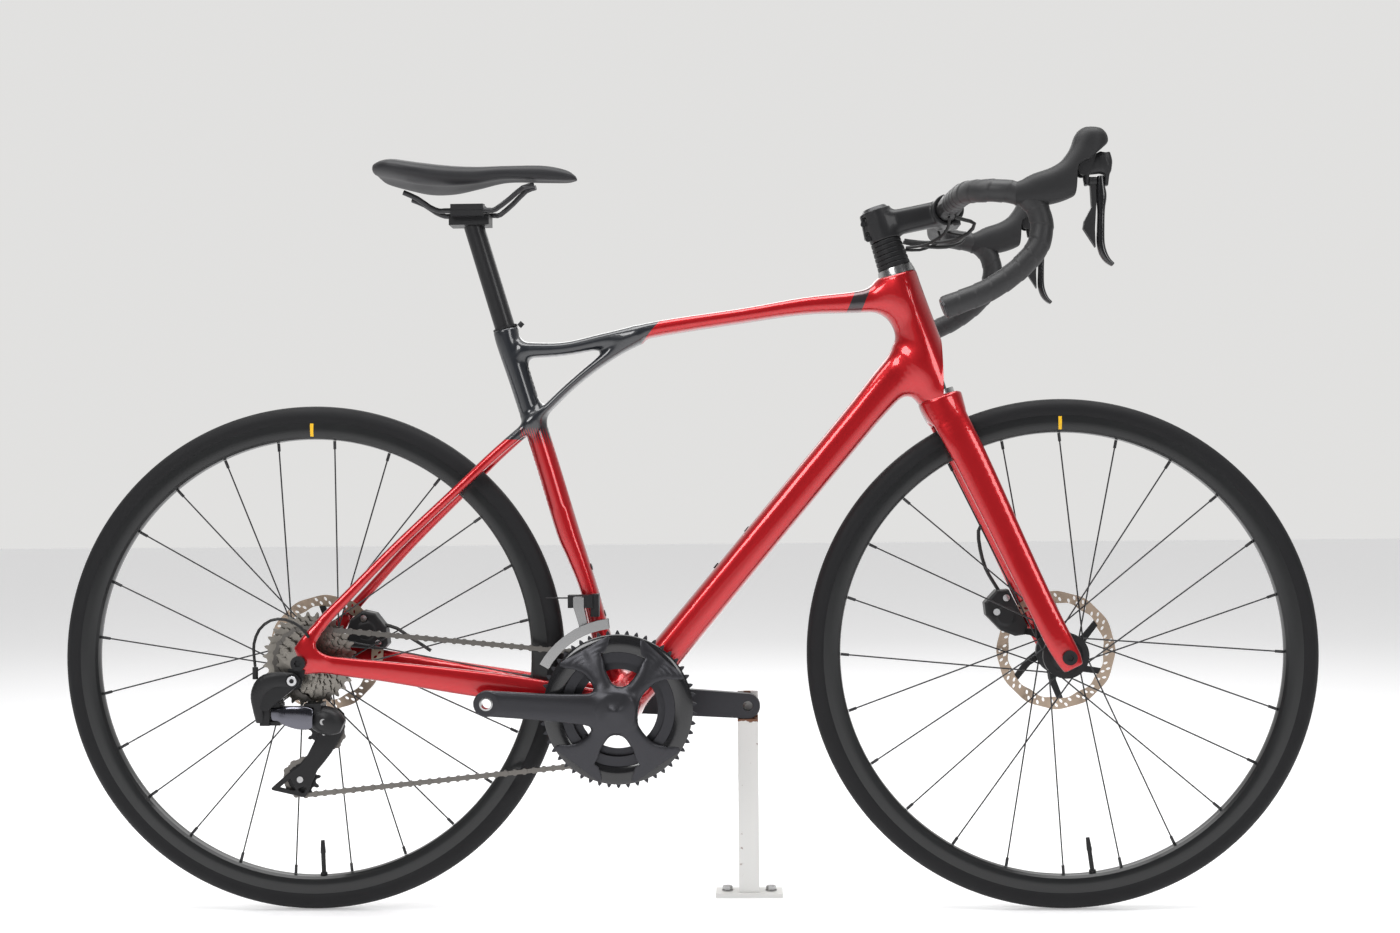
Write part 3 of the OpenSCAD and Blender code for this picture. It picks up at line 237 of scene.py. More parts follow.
def grain_group() -> bpy.types.NodeTree:
    """Makes the shared group that gives every finish its grain and its wandering roughness."""
    tree = bpy.data.node_groups.new("grain", "ShaderNodeTree")
    for name, default in (("Scale", 800.0), ("Depth", 0.0), ("Roughness", 0.4), ("Vary", 0.05)):
        socket = tree.interface.new_socket(name, in_out="INPUT", socket_type="NodeSocketFloat")
        socket.default_value = default
    tree.interface.new_socket("Roughness", in_out="OUTPUT", socket_type="NodeSocketFloat")
    tree.interface.new_socket("Normal", in_out="OUTPUT", socket_type="NodeSocketVector")
    b = ShaderBuilder(tree)
    given = b.add("NodeGroupInput").outputs
    out = b.add("NodeGroupOutput").inputs
    coords, _ = b.position()
    fine = b.add("ShaderNodeTexNoise")
    b.feed(fine.inputs["Vector"], coords)
    b.feed(fine.inputs["Scale"], given["Scale"])
    fine.inputs["Detail"].default_value = 3.0
    broad = b.add("ShaderNodeTexNoise")
    b.feed(broad.inputs["Vector"], coords)
    broad.inputs["Scale"].default_value = 34.0
    broad.inputs["Detail"].default_value = 5.0
    swing = b.math("MULTIPLY", b.math("SUBTRACT", broad.outputs[0], 0.5), given["Vary"])
    b.feed(out["Roughness"], b.math("ADD", given["Roughness"], b.math("MULTIPLY", swing, 2.0)))
    bump = b.add("ShaderNodeBump")
    b.feed(bump.inputs["Height"], fine.outputs[0])
    b.feed(bump.inputs["Distance"], given["Depth"])
    bump.inputs["Strength"].default_value = 1.0
    b.feed(out["Normal"], bump.outputs[0])
    return tree


class Palette:
    """Makes each material once, on first use."""

    def __init__(self) -> None:
        self._grain = grain_group()
        self._made: dict[Finish, bpy.types.Material] = {}
        self._special: dict[Finish, Callable[[ShaderBuilder, bpy.types.Node], None]] = {
            Finish.FRAME: self._frame_paint,
            Finish.FORK: self._fork_paint,
            Finish.TAPE: self._tape,
            Finish.STAND: self._stand_paint,
        }

    def get(self, finish: Finish) -> bpy.types.Material:
        """Returns the material of a finish."""
        if finish not in self._made:
            mat = bpy.data.materials.new(finish.value)
            mat.use_nodes = True
            b = ShaderBuilder(mat.node_tree)
            shader = mat.node_tree.nodes["Principled BSDF"]
            if finish in self._special:
                self._special[finish](b, shader)
            else:
                self._plain(b, shader, LOOKS[finish])
            self._made[finish] = mat
        return self._made[finish]

    def _grained(self, b: ShaderBuilder, shader: bpy.types.Node, look: Look) -> bpy.types.Node:
        node = b.add("ShaderNodeGroup")
        node.node_tree = self._grain
        node.inputs["Scale"].default_value = 1.0 / (max(look.grain, 0.3) * MM)
        node.inputs["Depth"].default_value = look.bump * MM
        node.inputs["Roughness"].default_value = look.roughness
        node.inputs["Vary"].default_value = look.vary
        b.feed(shader.inputs["Roughness"], node.outputs["Roughness"])
        if look.bump > 0:
            b.feed(shader.inputs["Normal"], node.outputs["Normal"])
        return node

    def _plain(self, b: ShaderBuilder, shader: bpy.types.Node, look: Look) -> None:
        shader.inputs["Base Color"].default_value = (*look.color, 1.0)
        shader.inputs["Metallic"].default_value = look.metallic
        shader.inputs["Specular IOR Level"].default_value = look.specular
        shader.inputs["Coat Weight"].default_value = look.coat
        shader.inputs["Coat Roughness"].default_value = 0.08
        self._grained(b, shader, look)

    def _candy(self, b: ShaderBuilder, shader: bpy.types.Node, color: object, black: object) -> None:
        """A clear-coated metallic paint, with black gloss where the mask is 1 and the red painted darker
        towards the silhouettes as painted shade.
        """
        # Painted shade: the red turns darker where the surface turns away from the view, for the shaded sides
        # of the tubes.
        weight = b.add("ShaderNodeLayerWeight")
        weight.inputs["Blend"].default_value = 0.35
        edge = b.mix_color(weight.outputs["Facing"], color, CARBON_RED_SIDE_SHADE)
        b.feed(shader.inputs["Base Color"], b.mix_color(black, edge, PAINT_BLACK))
        b.feed(shader.inputs["Metallic"], b.math("MULTIPLY", b.math("SUBTRACT", 1.0, black), 0.62))
        shader.inputs["Coat Weight"].default_value = 1.0
        shader.inputs["Coat Roughness"].default_value = 0.04
        self._grained(b, shader, Look((0, 0, 0), roughness=0.34, vary=0.03))

    def _frame_paint(self, b: ShaderBuilder, shader: bpy.types.Node) -> None:
        """Red with a black seat cluster, a fade on the seat tube and a stripe behind the head."""
        _, (x, _, z) = b.position()
        # The cut across the top tube leans forward as it rises.
        cut = b.math("SUBTRACT", x, b.math("MULTIPLY", b.math("SUBTRACT", z, 0.771), 0.857))
        behind = b.math("SUBTRACT", 1.0, b.ramp(cut, -0.0422, -0.0418))
        # Thin slanted streaks let the red rise into the black on the seat tube.
        slant = b.math("ADD", x, b.math("MULTIPLY", z, 0.30))
        streak = b.math("MULTIPLY", b.math("PINGPONG", slant, 0.0016), 16.0)
        on_tube = b.ramp(slant, -0.03, -0.026)
        level = b.math("SUBTRACT", z, b.math("MULTIPLY", streak, on_tube))
        above = b.ramp(level, 0.6185, 0.6195)
        low = b.ramp(z, 0.6278, 0.6282)
        above = b.math("ADD", b.math("MULTIPLY", above, on_tube),
                       b.math("MULTIPLY", low, b.math("SUBTRACT", 1.0, on_tube)))
        black = b.math("MULTIPLY", behind, above)
        band = b.math("SUBTRACT", x, b.math("MULTIPLY", b.math("SUBTRACT", z, 0.798), 0.42))
        before_end = b.math("SUBTRACT", 1.0, b.ramp(band, 0.2396, 0.24))
        inside = b.math("MULTIPLY", b.ramp(band, 0.2206, 0.221), before_end)
        inside = b.math("MULTIPLY", inside, b.ramp(z, 0.78, 0.7801))
        red = b.mix_color(inside, CARBON_RED, STRIPE_BLACK)
        self._candy(b, shader, red, black)

    def _fork_paint(self, b: ShaderBuilder, shader: bpy.types.Node) -> None:
        """The same red without a black area."""
        self._candy(b, shader, CARBON_RED, 0.0)

    def _tape(self, b: ShaderBuilder, shader: bpy.types.Node) -> None:
        """Perforated wound tape."""
        shader.inputs["Base Color"].default_value = (0.016, 0.016, 0.017, 1.0)
        self._grained(b, shader, Look((0, 0, 0), roughness=0.5, grain=1.6, bump=0.12, vary=0.1))

    def _stand_paint(self, b: ShaderBuilder, shader: bpy.types.Node) -> None:
        """White paint, rusty at the saw cut and scuffed elsewhere."""
        coords, (_, _, z) = b.position()
        noise = b.add("ShaderNodeTexNoise")
        b.feed(noise.inputs["Vector"], coords)
        noise.inputs["Scale"].default_value = 90.0
        noise.inputs["Detail"].default_value = 6.0
        near_cut = b.ramp(b.math("ABSOLUTE", b.math("SUBTRACT", z, 0.2435)), 0.006, 0.0)
        high = b.ramp(z, 0.225, 0.285)
        worn = b.math("ADD", b.math("MULTIPLY", near_cut, 0.45), b.math("MULTIPLY", high, 0.16))
        mask = b.ramp(b.math("ADD", noise.outputs[0], worn), 0.68, 0.74)
        color = b.mix_color(mask, (0.72, 0.72, 0.7, 1.0), (0.16, 0.06, 0.025, 1.0))
        b.feed(shader.inputs["Base Color"], color)
        self._grained(b, shader, Look((0, 0, 0), roughness=0.42, grain=3.0, bump=0.05))


# ---------------------------------------------------------------------------
# Shapes
# ---------------------------------------------------------------------------


def unit(v: np.ndarray) -> np.ndarray:
    """Returns the vector, or each row of vectors, at length 1."""
    return v / np.maximum(np.linalg.norm(v, axis=-1, keepdims=True), 1e-12)


def spline(points: Sequence[Station], steps: int) -> np.ndarray:
    """Returns a Catmull-Rom curve through the stations, with that many steps between two."""
    p = np.array(points, float)
    padded = np.vstack([2 * p[0] - p[1], p, 2 * p[-1] - p[-2]])
    t = np.linspace(0, 1, steps, endpoint=False)[:, None]
    runs = []
    for a, b, c, d in zip(padded, padded[1:], padded[2:], padded[3:]):
        square = 2 * a - 5 * b + 4 * c - d
        cube = 3 * b - a - 3 * c + d
        runs.append(0.5 * (2 * b + (c - a) * t + square * t**2 + cube * t**3))
    return np.vstack([*runs, p[-1:]])


def flipped(points: Sequence[Station]) -> list[list[float]]:
    """Returns the stations mirrored to the other side of the bicycle."""
    return [[p[0], -p[1], *p[2:]] for p in points]


@dataclass
class MeshData:
    """Vertices in millimetres with their faces and, where they are known, their normals."""

    verts: np.ndarray
    faces: np.ndarray | list
    normals: np.ndarray | None = None

    def mirrored(self) -> "MeshData":
        """Returns the shape on the other side of the bicycle."""
        flip = np.array([1.0, -1.0, 1.0])
        if isinstance(self.faces, list):
            faces = [tuple(reversed(f)) for f in self.faces]
        else:
            faces = self.faces[:, ::-1]
        normals = None if self.normals is None else self.normals * flip
        return MeshData(self.verts * flip, faces, normals)


def joined(shapes: Iterable[MeshData]) -> MeshData:
    """Returns several shapes as one, without normals of their own."""
    verts, faces, start = [], [], 0
    for s in shapes:
        verts.append(s.verts)
        faces.extend([tuple(int(i) + start for i in f) for f in s.faces])
        start += len(s.verts)
    return MeshData(np.vstack(verts), faces)


def both(shape: MeshData) -> MeshData:
    """Returns the shape and its mirror image."""
    return joined([shape, shape.mirrored()])


def grid_faces(rows: int, cols: int, around: bool = True, along: bool = False) -> list[tuple[int, ...]]:
    """Returns quads between rows of points, closed around each row and, if asked, along them."""
    out = []
    for i in range(rows if along else rows - 1):
        n = (i + 1) % rows
        for j in range(cols if around else cols - 1):
            k = (j + 1) % cols
            out.append((i * cols + j, n * cols + j, n * cols + k, i * cols + k))
    return out


def tube_rings(path: np.ndarray, radius: np.ndarray, sides: int) -> np.ndarray:
    """Returns rings around a path, carried along it without twist."""
    tangent = unit(np.gradient(path, axis=0))
    u = unit(np.cross(tangent[0], [0.31, 0.87, 0.38]))
    angle = np.linspace(0, 2 * math.pi, sides, endpoint=False)
    rings = []
    for p, t, r in zip(path, tangent, radius):
        u = unit(u - t * np.dot(u, t))
        v = np.cross(t, u)
        rings.append(p + r * (np.cos(angle)[:, None] * u + np.sin(angle)[:, None] * v))
    return np.array(rings)


def revolved(profile: Sequence[Sequence[float]], centre: tuple[float, float], segments: int = 192,
             arc: tuple[float, float] = (0.0, 360.0), closed: bool = True) -> MeshData:
    """Returns a profile of [radius, y] points turned about an axis along Y.

    Args:
        profile: the points in order.
        centre: x and z of the axis.
        segments: steps around the axis.
        arc: first and last angle in degrees.
        closed: whether the profile's last point joins its first.

    Returns:
        The skin. A full turn closes on itself.
    """
    full = arc[1] - arc[0] >= 360
    a = np.radians(np.linspace(arc[0], arc[1], segments, endpoint=not full))
    prof = np.array(profile, float)
    ring = np.stack([
        centre[0] + prof[None, :, 0] * np.cos(a)[:, None],
        np.broadcast_to(prof[None, :, 1], (len(a), len(prof))),
        centre[1] + prof[None, :, 0] * np.sin(a)[:, None]], axis=-1)
    return MeshData(ring.reshape(-1, 3), grid_faces(len(a), len(prof), around=closed, along=full))


def plate(outline: Sequence[Sequence[float]], y0: float, y1: float,
          holes: Sequence[Sequence[Sequence[float]]] = ()) -> MeshData:
    """Returns a flat plate in the side plane between two values of y, with holes.

    Args:
        outline: [x, z] points of the edge.
        y0: the lower y.
        y1: the higher y.
        holes: edges of the holes.

    Returns:
        The plate as a closed skin.
    """
    loops = [np.array(outline, float), *[np.array(h, float) for h in holes]]
    flat = np.vstack(loops)
    tris = geometry.tessellate_polygon([[Vector((p[0], p[1], 0)) for p in loop] for loop in loops])
    n = len(flat)
    verts = np.vstack([np.column_stack([flat[:, 0], np.full(n, y), flat[:, 1]]) for y in (y0, y1)])
    area = 0.0
    for t in tris:
        a, b, c = flat[t[0]], flat[t[1]], flat[t[2]]
        area += (b[0] - a[0]) * (c[1] - a[1]) - (b[1] - a[1]) * (c[0] - a[0])
    faces = []
    for t in tris:
        t = tuple(t) if area > 0 else tuple(reversed(t))
        faces.append(t)
        faces.append(tuple(i + n for i in reversed(t)))
    start = 0
    for k, loop in enumerate(loops):
        m = len(loop)
        turn = sum(loop[i][0] * loop[(i + 1) % m][1] - loop[(i + 1) % m][0] * loop[i][1] for i in range(m))
        outward = (turn > 0) == (k == 0)
        for i in range(m):
            a, b = start + i, start + (i + 1) % m
            faces.append((b, a, a + n, b + n) if outward else (a, b, b + n, a + n))
        start += m
    return MeshData(verts, faces)


def circle(cx: float, cz: float, r: float, n: int = 32) -> list[tuple[float, float]]:
    """Returns points of a circle in the side plane."""
    turns = [2 * math.pi * i / n for i in range(n)]
    return [(cx + r * math.cos(t), cz + r * math.sin(t)) for t in turns]


class Field:
    """A solid as a sampled distance field, whose members melt into each other."""

    def __init__(self, low: Sequence[float], high: Sequence[float], step: float) -> None:
        self.step = step
        self.low = np.array(low, float)
        self.shape = tuple(int(math.ceil((h - l) / step)) + 1 for l, h in zip(low, high))
        self.values = np.full(self.shape, 40.0, np.float32)

    def _window(self, low: np.ndarray, high: np.ndarray) -> tuple[tuple[slice, ...], list[np.ndarray]]:
        first = np.maximum(np.floor((low - self.low) / self.step).astype(int), 0)
        last = np.minimum(np.ceil((high - self.low) / self.step).astype(int) + 1, self.shape)
        slices = tuple(slice(a, max(b, a)) for a, b in zip(first, last))
        axes = [self.low[i] + self.step * np.arange(s.start, s.stop) for i, s in enumerate(slices)]
        grids = np.meshgrid(*axes, indexing="ij", sparse=True)
        return slices, [g.astype(np.float32) for g in grids]

    def _melt(self, slices: tuple[slice, ...], d: np.ndarray, k: float) -> None:
        old = self.values[slices]
        if k > 0:
            h = np.maximum(k - np.abs(old - d), 0.0)
            self.values[slices] = np.minimum(old, d) - h * h / (4 * k)
        else:
            self.values[slices] = np.minimum(old, d)

    def tube(self, stations: Sequence[Station], k: float = 0.0, steps: int = 5,
             reach: float = 32.0) -> "Field":
        """Adds a tube through [x, y, z, depth, width, exponent] stations.

        The depth lies in the side plane. k is the width of the fillet towards what is there already.
        """
        st = spline(stations, steps)
        reach = max(reach, k + 4)
        size = max(st[:, 3].max(), st[:, 4].max()) / 2 + reach
        low, high = st[:, :3].min(0) - size, st[:, :3].max(0) + size
        slices, _ = self._window(low, high)
        total = np.full([s.stop - s.start for s in slices], 60.0, np.float32)
        origin = np.array([s.start for s in slices])
        last = len(st) - 2
        for i, (a, b) in enumerate(zip(st, st[1:])):
            pad = max(a[3], b[3], a[4], b[4]) / 2 + reach
            sub, (gx, gy, gz) = self._window(np.minimum(a[:3], b[:3]) - pad, np.maximum(a[:3], b[:3]) + pad)
            axis = b[:3] - a[:3]
            length = np.linalg.norm(axis)
            t = axis / length
            flat = math.hypot(t[0], t[2])
            up = np.array([-t[2] / flat, 0.0, t[0] / flat]) if flat > 0.05 else np.array([0.0, 0.0, 1.0])
            side = np.cross(up, t)
            x, y, z = gx - a[0], gy - a[1], gz - a[2]
            s = x * t[0] + y * t[1] + z * t[2]
            f = np.clip(s / length, 0, 1)
            # Inner joints overlap a little, so that no crack opens on the outside of a bend.
            beyond = np.maximum(-s - (0 if i == 0 else 2.0), s - length - (0 if i == last else 2.0))
            q = np.abs(x * up[0] + y * up[1] + z * up[2])
            v = np.abs(x * side[0] + y * side[1] + z * side[2])
            depth = (a[3] + (b[3] - a[3]) * f) / 2
            width = (a[4] + (b[4] - a[4]) * f) / 2
            e = 0.5 * (a[5] + b[5])
            n = ((q / depth) ** e + (v / width) ** e) ** (1 / e)
            radius = np.sqrt(q * q + v * v) / np.maximum(n, 1e-4)
            d = (n - 1) * np.minimum(radius, np.maximum(depth, width))
            d = np.where(beyond > 0, np.hypot(np.maximum(d, 0), beyond), np.maximum(d, beyond))
            local = tuple(slice(w.start - o, w.stop - o) for w, o in zip(sub, origin))
            total[local] = np.minimum(total[local], d)
        self._melt(slices, total, k)
        return self

    def ball(self, centre: Sequence[float], radii: Sequence[float], k: float = 0.0) -> "Field":
        """Adds an ellipsoid."""
        c, r = np.array(centre, float), np.array(radii, float)
        slices, (gx, gy, gz) = self._window(c - r - k - 10, c + r + k + 10)
        n = np.sqrt(((gx - c[0]) / r[0]) ** 2 + ((gy - c[1]) / r[1]) ** 2 + ((gz - c[2]) / r[2]) ** 2)
        self._melt(slices, (n - 1) * r.min(), k)
        return self

    def _cut(self, slices: tuple[slice, ...], d: np.ndarray, k: float) -> None:
        old = self.values[slices]
        h = np.maximum(k - np.abs(old + d), 0.0)
        self.values[slices] = np.maximum(old, -d) + (h * h / (4 * k) if k > 0 else 0)

    def drill(self, a: Sequence[float], b: Sequence[float], r: float, k: float = 0.6) -> "Field":
        """Takes out a cylinder between two points."""
        a, b = np.array(a, float), np.array(b, float)
        slices, (gx, gy, gz) = self._window(np.minimum(a, b) - r - 4, np.maximum(a, b) + r + 4)
        axis = b - a
        length = np.linalg.norm(axis)
        t = axis / length
        x, y, z = gx - a[0], gy - a[1], gz - a[2]
        s = x * t[0] + y * t[1] + z * t[2]
        q = np.sqrt(np.maximum(x * x + y * y + z * z - s * s, 0))
        self._cut(slices, np.maximum(q - r, np.abs(s - length / 2) - length / 2), k)
        return self

    def bore(self, at: tuple[float, float], y0: float, y1: float, r: float, k: float = 0.6) -> "Field":
        """Takes out a hole across the bicycle at an [x, z] place."""
        return self.drill((at[0], y0, at[1]), (at[0], y1, at[1]), r, k)

    def box_out(self, low: Sequence[float], high: Sequence[float], k: float = 0.6) -> "Field":
        """Takes out a box."""
        low, high = np.array(low, float), np.array(high, float)
        slices, g = self._window(low - 6, high + 6)
        mid, half = (low + high) / 2, (high - low) / 2
        d = np.maximum.reduce(np.broadcast_arrays(*[np.abs(g[i] - mid[i]) - half[i] for i in range(3)]))
        self._cut(slices, d, k)
        return self

    def _outline_distance(self, outline: Sequence[Sequence[float]], gx: np.ndarray,
                          gz: np.ndarray) -> np.ndarray:
        """Returns the signed distance to a polygon in the side plane, negative inside."""
        x, z = np.broadcast_arrays(gx, gz)
        best = np.full(x.shape, 1e9)
        inside = np.zeros(x.shape, bool)
        pts = np.array(outline, float)
        for a, b in zip(pts, np.roll(pts, -1, axis=0)):
            e = b - a
            t = np.clip(((x - a[0]) * e[0] + (z - a[1]) * e[1]) / np.dot(e, e), 0, 1)
            best = np.minimum(best, (x - a[0] - t * e[0]) ** 2 + (z - a[1] - t * e[1]) ** 2)
            crosses = (a[1] > z) != (b[1] > z)
            rise = e[1] if e[1] else 1e-9
            inside ^= crosses & (x < a[0] + (z - a[1]) / rise * e[0])
        return np.sqrt(best) * np.where(inside, -1, 1)

    def _prism(self, outline: Sequence[Sequence[float]], y0: float, y1: float, edge: float,
               pad: float) -> tuple[tuple[slice, ...], np.ndarray]:
        pts = np.array(outline, float)
        low = np.array([pts[:, 0].min(), y0, pts[:, 1].min()]) - pad
        high = np.array([pts[:, 0].max(), y1, pts[:, 1].max()]) + pad
        slices, (gx, gy, gz) = self._window(low, high)
        d = self._outline_distance(outline, gx, gz) + edge
        h = np.abs(gy - (y0 + y1) / 2) - (y1 - y0) / 2 + edge
        d, h = np.broadcast_arrays(d, h)
        return slices, np.hypot(np.maximum(d, 0), np.maximum(h, 0)) + np.minimum(np.maximum(d, h), 0) - edge

    def prism(self, outline: Sequence[Sequence[float]], y0: float, y1: float, edge: float = 1.5,
              k: float = 0.0) -> "Field":
        """Adds an [x, z] outline between two values of y, with rounded edges."""
        self._melt(*self._prism(outline, y0, y1, edge, k + 8), k)
        return self

    def prism_out(self, outline: Sequence[Sequence[float]], y0: float, y1: float, k: float = 0.6) -> "Field":
        """Takes out an [x, z] outline between two values of y."""
        self._cut(*self._prism(outline, y0, y1, 0.0, 5), k)
        return self

    def skin(self) -> MeshData:
        """Returns the surface as quads with the field's own normals."""
        grid = openvdb.FloatGrid(3 * self.step)
        clipped = np.clip(self.values, -3 * self.step, 3 * self.step)
        grid.copyFromArray(np.ascontiguousarray(clipped, dtype=np.float32))
        points, quads = grid.convertToQuads(0.0)
        points = np.asarray(points, float)
        normals = self._normals(points)
        quads = np.asarray(quads, int)
        a, b, c = (points[quads[:, i]] for i in range(3))
        facing = np.einsum("ij,ij->i", np.cross(b - a, c - a), normals[quads[:, 0]])
        if np.median(facing) < 0:
            quads = quads[:, ::-1]
        return MeshData(self.low + points * self.step, quads, normals)

    def _normals(self, points: np.ndarray) -> np.ndarray:
        out = np.zeros_like(points)
        for axis in range(3):
            shift = np.zeros(3)
            shift[axis] = 1.5
            out[:, axis] = self._sample(points + shift) - self._sample(points - shift)
        return unit(out)

    def _sample(self, p: np.ndarray) -> np.ndarray:
        p = np.clip(p, 0, np.array(self.shape) - 1.001)
        i = p.astype(int)
        f = p - i
        total = np.zeros(len(p))
        for corner in np.ndindex(2, 2, 2):
            w = np.prod([f[:, k] if corner[k] else 1 - f[:, k] for k in range(3)], axis=0)
            total += w * self.values[i[:, 0] + corner[0], i[:, 1] + corner[1], i[:, 2] + corner[2]]
        return total


# ---------------------------------------------------------------------------
# Places on the bicycle
# ---------------------------------------------------------------------------


def on_steerer(s: float, forward: float = 0.0, y: float = 0.0) -> tuple[float, float, float]:
    """Returns the point at height s along the steering axis, from the front axle's foot on it."""
    a = math.radians(HEAD_LEAN)
    x0 = FRONT_AXLE[0] - 46 * math.cos(a)
    z0 = FRONT_AXLE[1] - 46 * math.sin(a)
    return (x0 - s * math.sin(a) + forward * math.cos(a), y, z0 + s * math.cos(a) + forward * math.sin(a))


def on_seat_axis(s: float) -> tuple[float, float, float]:
    """Returns the point at the distance s from the crank axle along the seat tube."""
    a = math.radians(SEAT_LEAN)
    return (CRANK_AXLE[0] - s * math.sin(a), 0.0, CRANK_AXLE[1] + s * math.cos(a))


def at_lever(rows: Sequence[Station]) -> list[list[float]]:
    """Returns [x, z, depth, width, exponent] rows as stations in the right lever's own plane."""
    return [[x, -LEVER_Y, *rest] for x, *rest in rows]


def revolved_z(profile: Sequence[Sequence[float]], segments: int) -> MeshData:
    """Returns a profile of [radius, height] points turned about the steering axis."""
    a = np.linspace(0, 2 * math.pi, segments, endpoint=False)
    rings = []
    for angle in a:
        rings.append([on_steerer(h, r * math.cos(angle), r * math.sin(angle)) for r, h in profile])
    return MeshData(np.array(rings).reshape(-1, 3), grid_faces(segments, len(profile), along=True))


def tyre_profile() -> list[list[float]]:
    """Returns [radius, y] points of the tyre's wall, with a slightly raised tread."""
    tread = 1.004
    outer = []
    for a in np.radians(range(-126, 127, 6)):
        swell = tread if abs(a) <= math.radians(30.001) else 1.0
        outer.append([TYRE_MID + TYRE_HALF * math.cos(a) * swell, TYRE_HALF * math.sin(a)])
    inner = []
    for x, y in reversed(outer):
        a = math.atan2(y, x - TYRE_MID)
        inner.append([x - TYRE_SKIN * math.cos(a), y - TYRE_SKIN * math.sin(a)])
    top = TYRE_R / (TYRE_MID + TYRE_HALF * tread)
    return [[x * top if x > TYRE_R - 0.1 else x, y] for x, y in outer] + inner


def rod(a: np.ndarray, b: np.ndarray, r0: float, r1: float | None = None, sides: int = 24) -> MeshData:
    """Returns a straight rod between two points, tapered if a second radius is given."""
    path = np.array([a, b], float)
    rings = tube_rings(path, np.array([r0, r0 if r1 is None else r1]), sides)
    faces = grid_faces(2, sides)
    faces.append(tuple(range(sides)))
    faces.append(tuple(reversed(range(sides, 2 * sides))))
    return MeshData(rings.reshape(-1, 3), faces)


def pin(at: tuple[float, float], y0: float, y1: float, r: float) -> MeshData:
    """Returns a round pin across the bicycle at an [x, z] place."""
    return rod(np.array([at[0], y0, at[1]]), np.array([at[0], y1, at[1]]), r)


def bolt(at: tuple[float, float], y0: float, y1: float, r: float, key: float) -> MeshData:
    """Returns a round bolt head along Y that faces y1, with a chamfer and a recess for its key."""
    step = 1 if y1 > y0 else -1
    profile = [[0.01, y0], [r, y0], [r, y1 - 0.8 * step], [r - 0.8, y1], [key, y1], [key, y1 - 2.4 * step],
               [0.01, y1 - 2.4 * step]]
    return revolved(profile, at, 48)


def arm(cx: float, cz: float, angle: float) -> list[tuple[float, float]]:
    """Returns the outline of one swept rotor arm."""
    a = math.radians(angle)
    lean = math.radians(26)
    pts = []
    for r, w, bend in ((20, 7, 0.0), (40, 5.2, 0.55), (65, 4.2, 1.0)):
        pts.append((r, w, a + lean * bend))
    edges = []
    for side in (-1, 1):
        edges.append([(cx + r * math.cos(t) - side * w * math.sin(t),
                       cz + r * math.sin(t) + side * w * math.cos(t)) for r, w, t in pts])
    return edges[0] + edges[1][::-1]


def lobed(centre: tuple[float, float], mean: float, wave: float, shift: float,
          n: int) -> list[tuple[float, float]]:
    """Returns n points of a circle with twelve shallow lobes."""
    points = []
    for i in range(n):
        a = 2 * math.pi * i / n
        r = mean + wave * math.cos(12 * a + shift)
        points.append((centre[0] + r * math.cos(a), centre[1] + r * math.sin(a)))
    return points


def rotor(centre: tuple[float, float], y: float) -> MeshData:
    """Returns the braking ring with a slightly lobed edge and slanted slots."""
    cx, cz = centre
    outer = lobed(centre, 79.3, 0.7, 0.0, 360)
    holes = [lobed(centre, 64.6, -1.2, 0.5, 180)]
    lean = math.radians(35)
    for i in range(36):
        for r, shift in ((74.6, 0.0), (69.0, 5.0)):
            a = math.radians(10 * i + shift)
            if i % 3 == 2 and r > 70:
                continue
            hole = []
            for j in range(12):
                t = 2 * math.pi * j / 12
                u, v = 3.0 * math.cos(t), 1.7 * math.sin(t)
                out = r + u * math.cos(lean) - v * math.sin(lean)
                aside = u * math.sin(lean) + v * math.cos(lean)
                x = cx + out * math.cos(a) - aside * math.sin(a)
                z = cz + out * math.sin(a) + aside * math.cos(a)
                hole.append((x, z))
            holes.append(hole)
    return plate(outer, y - 0.9, y + 0.9, holes)


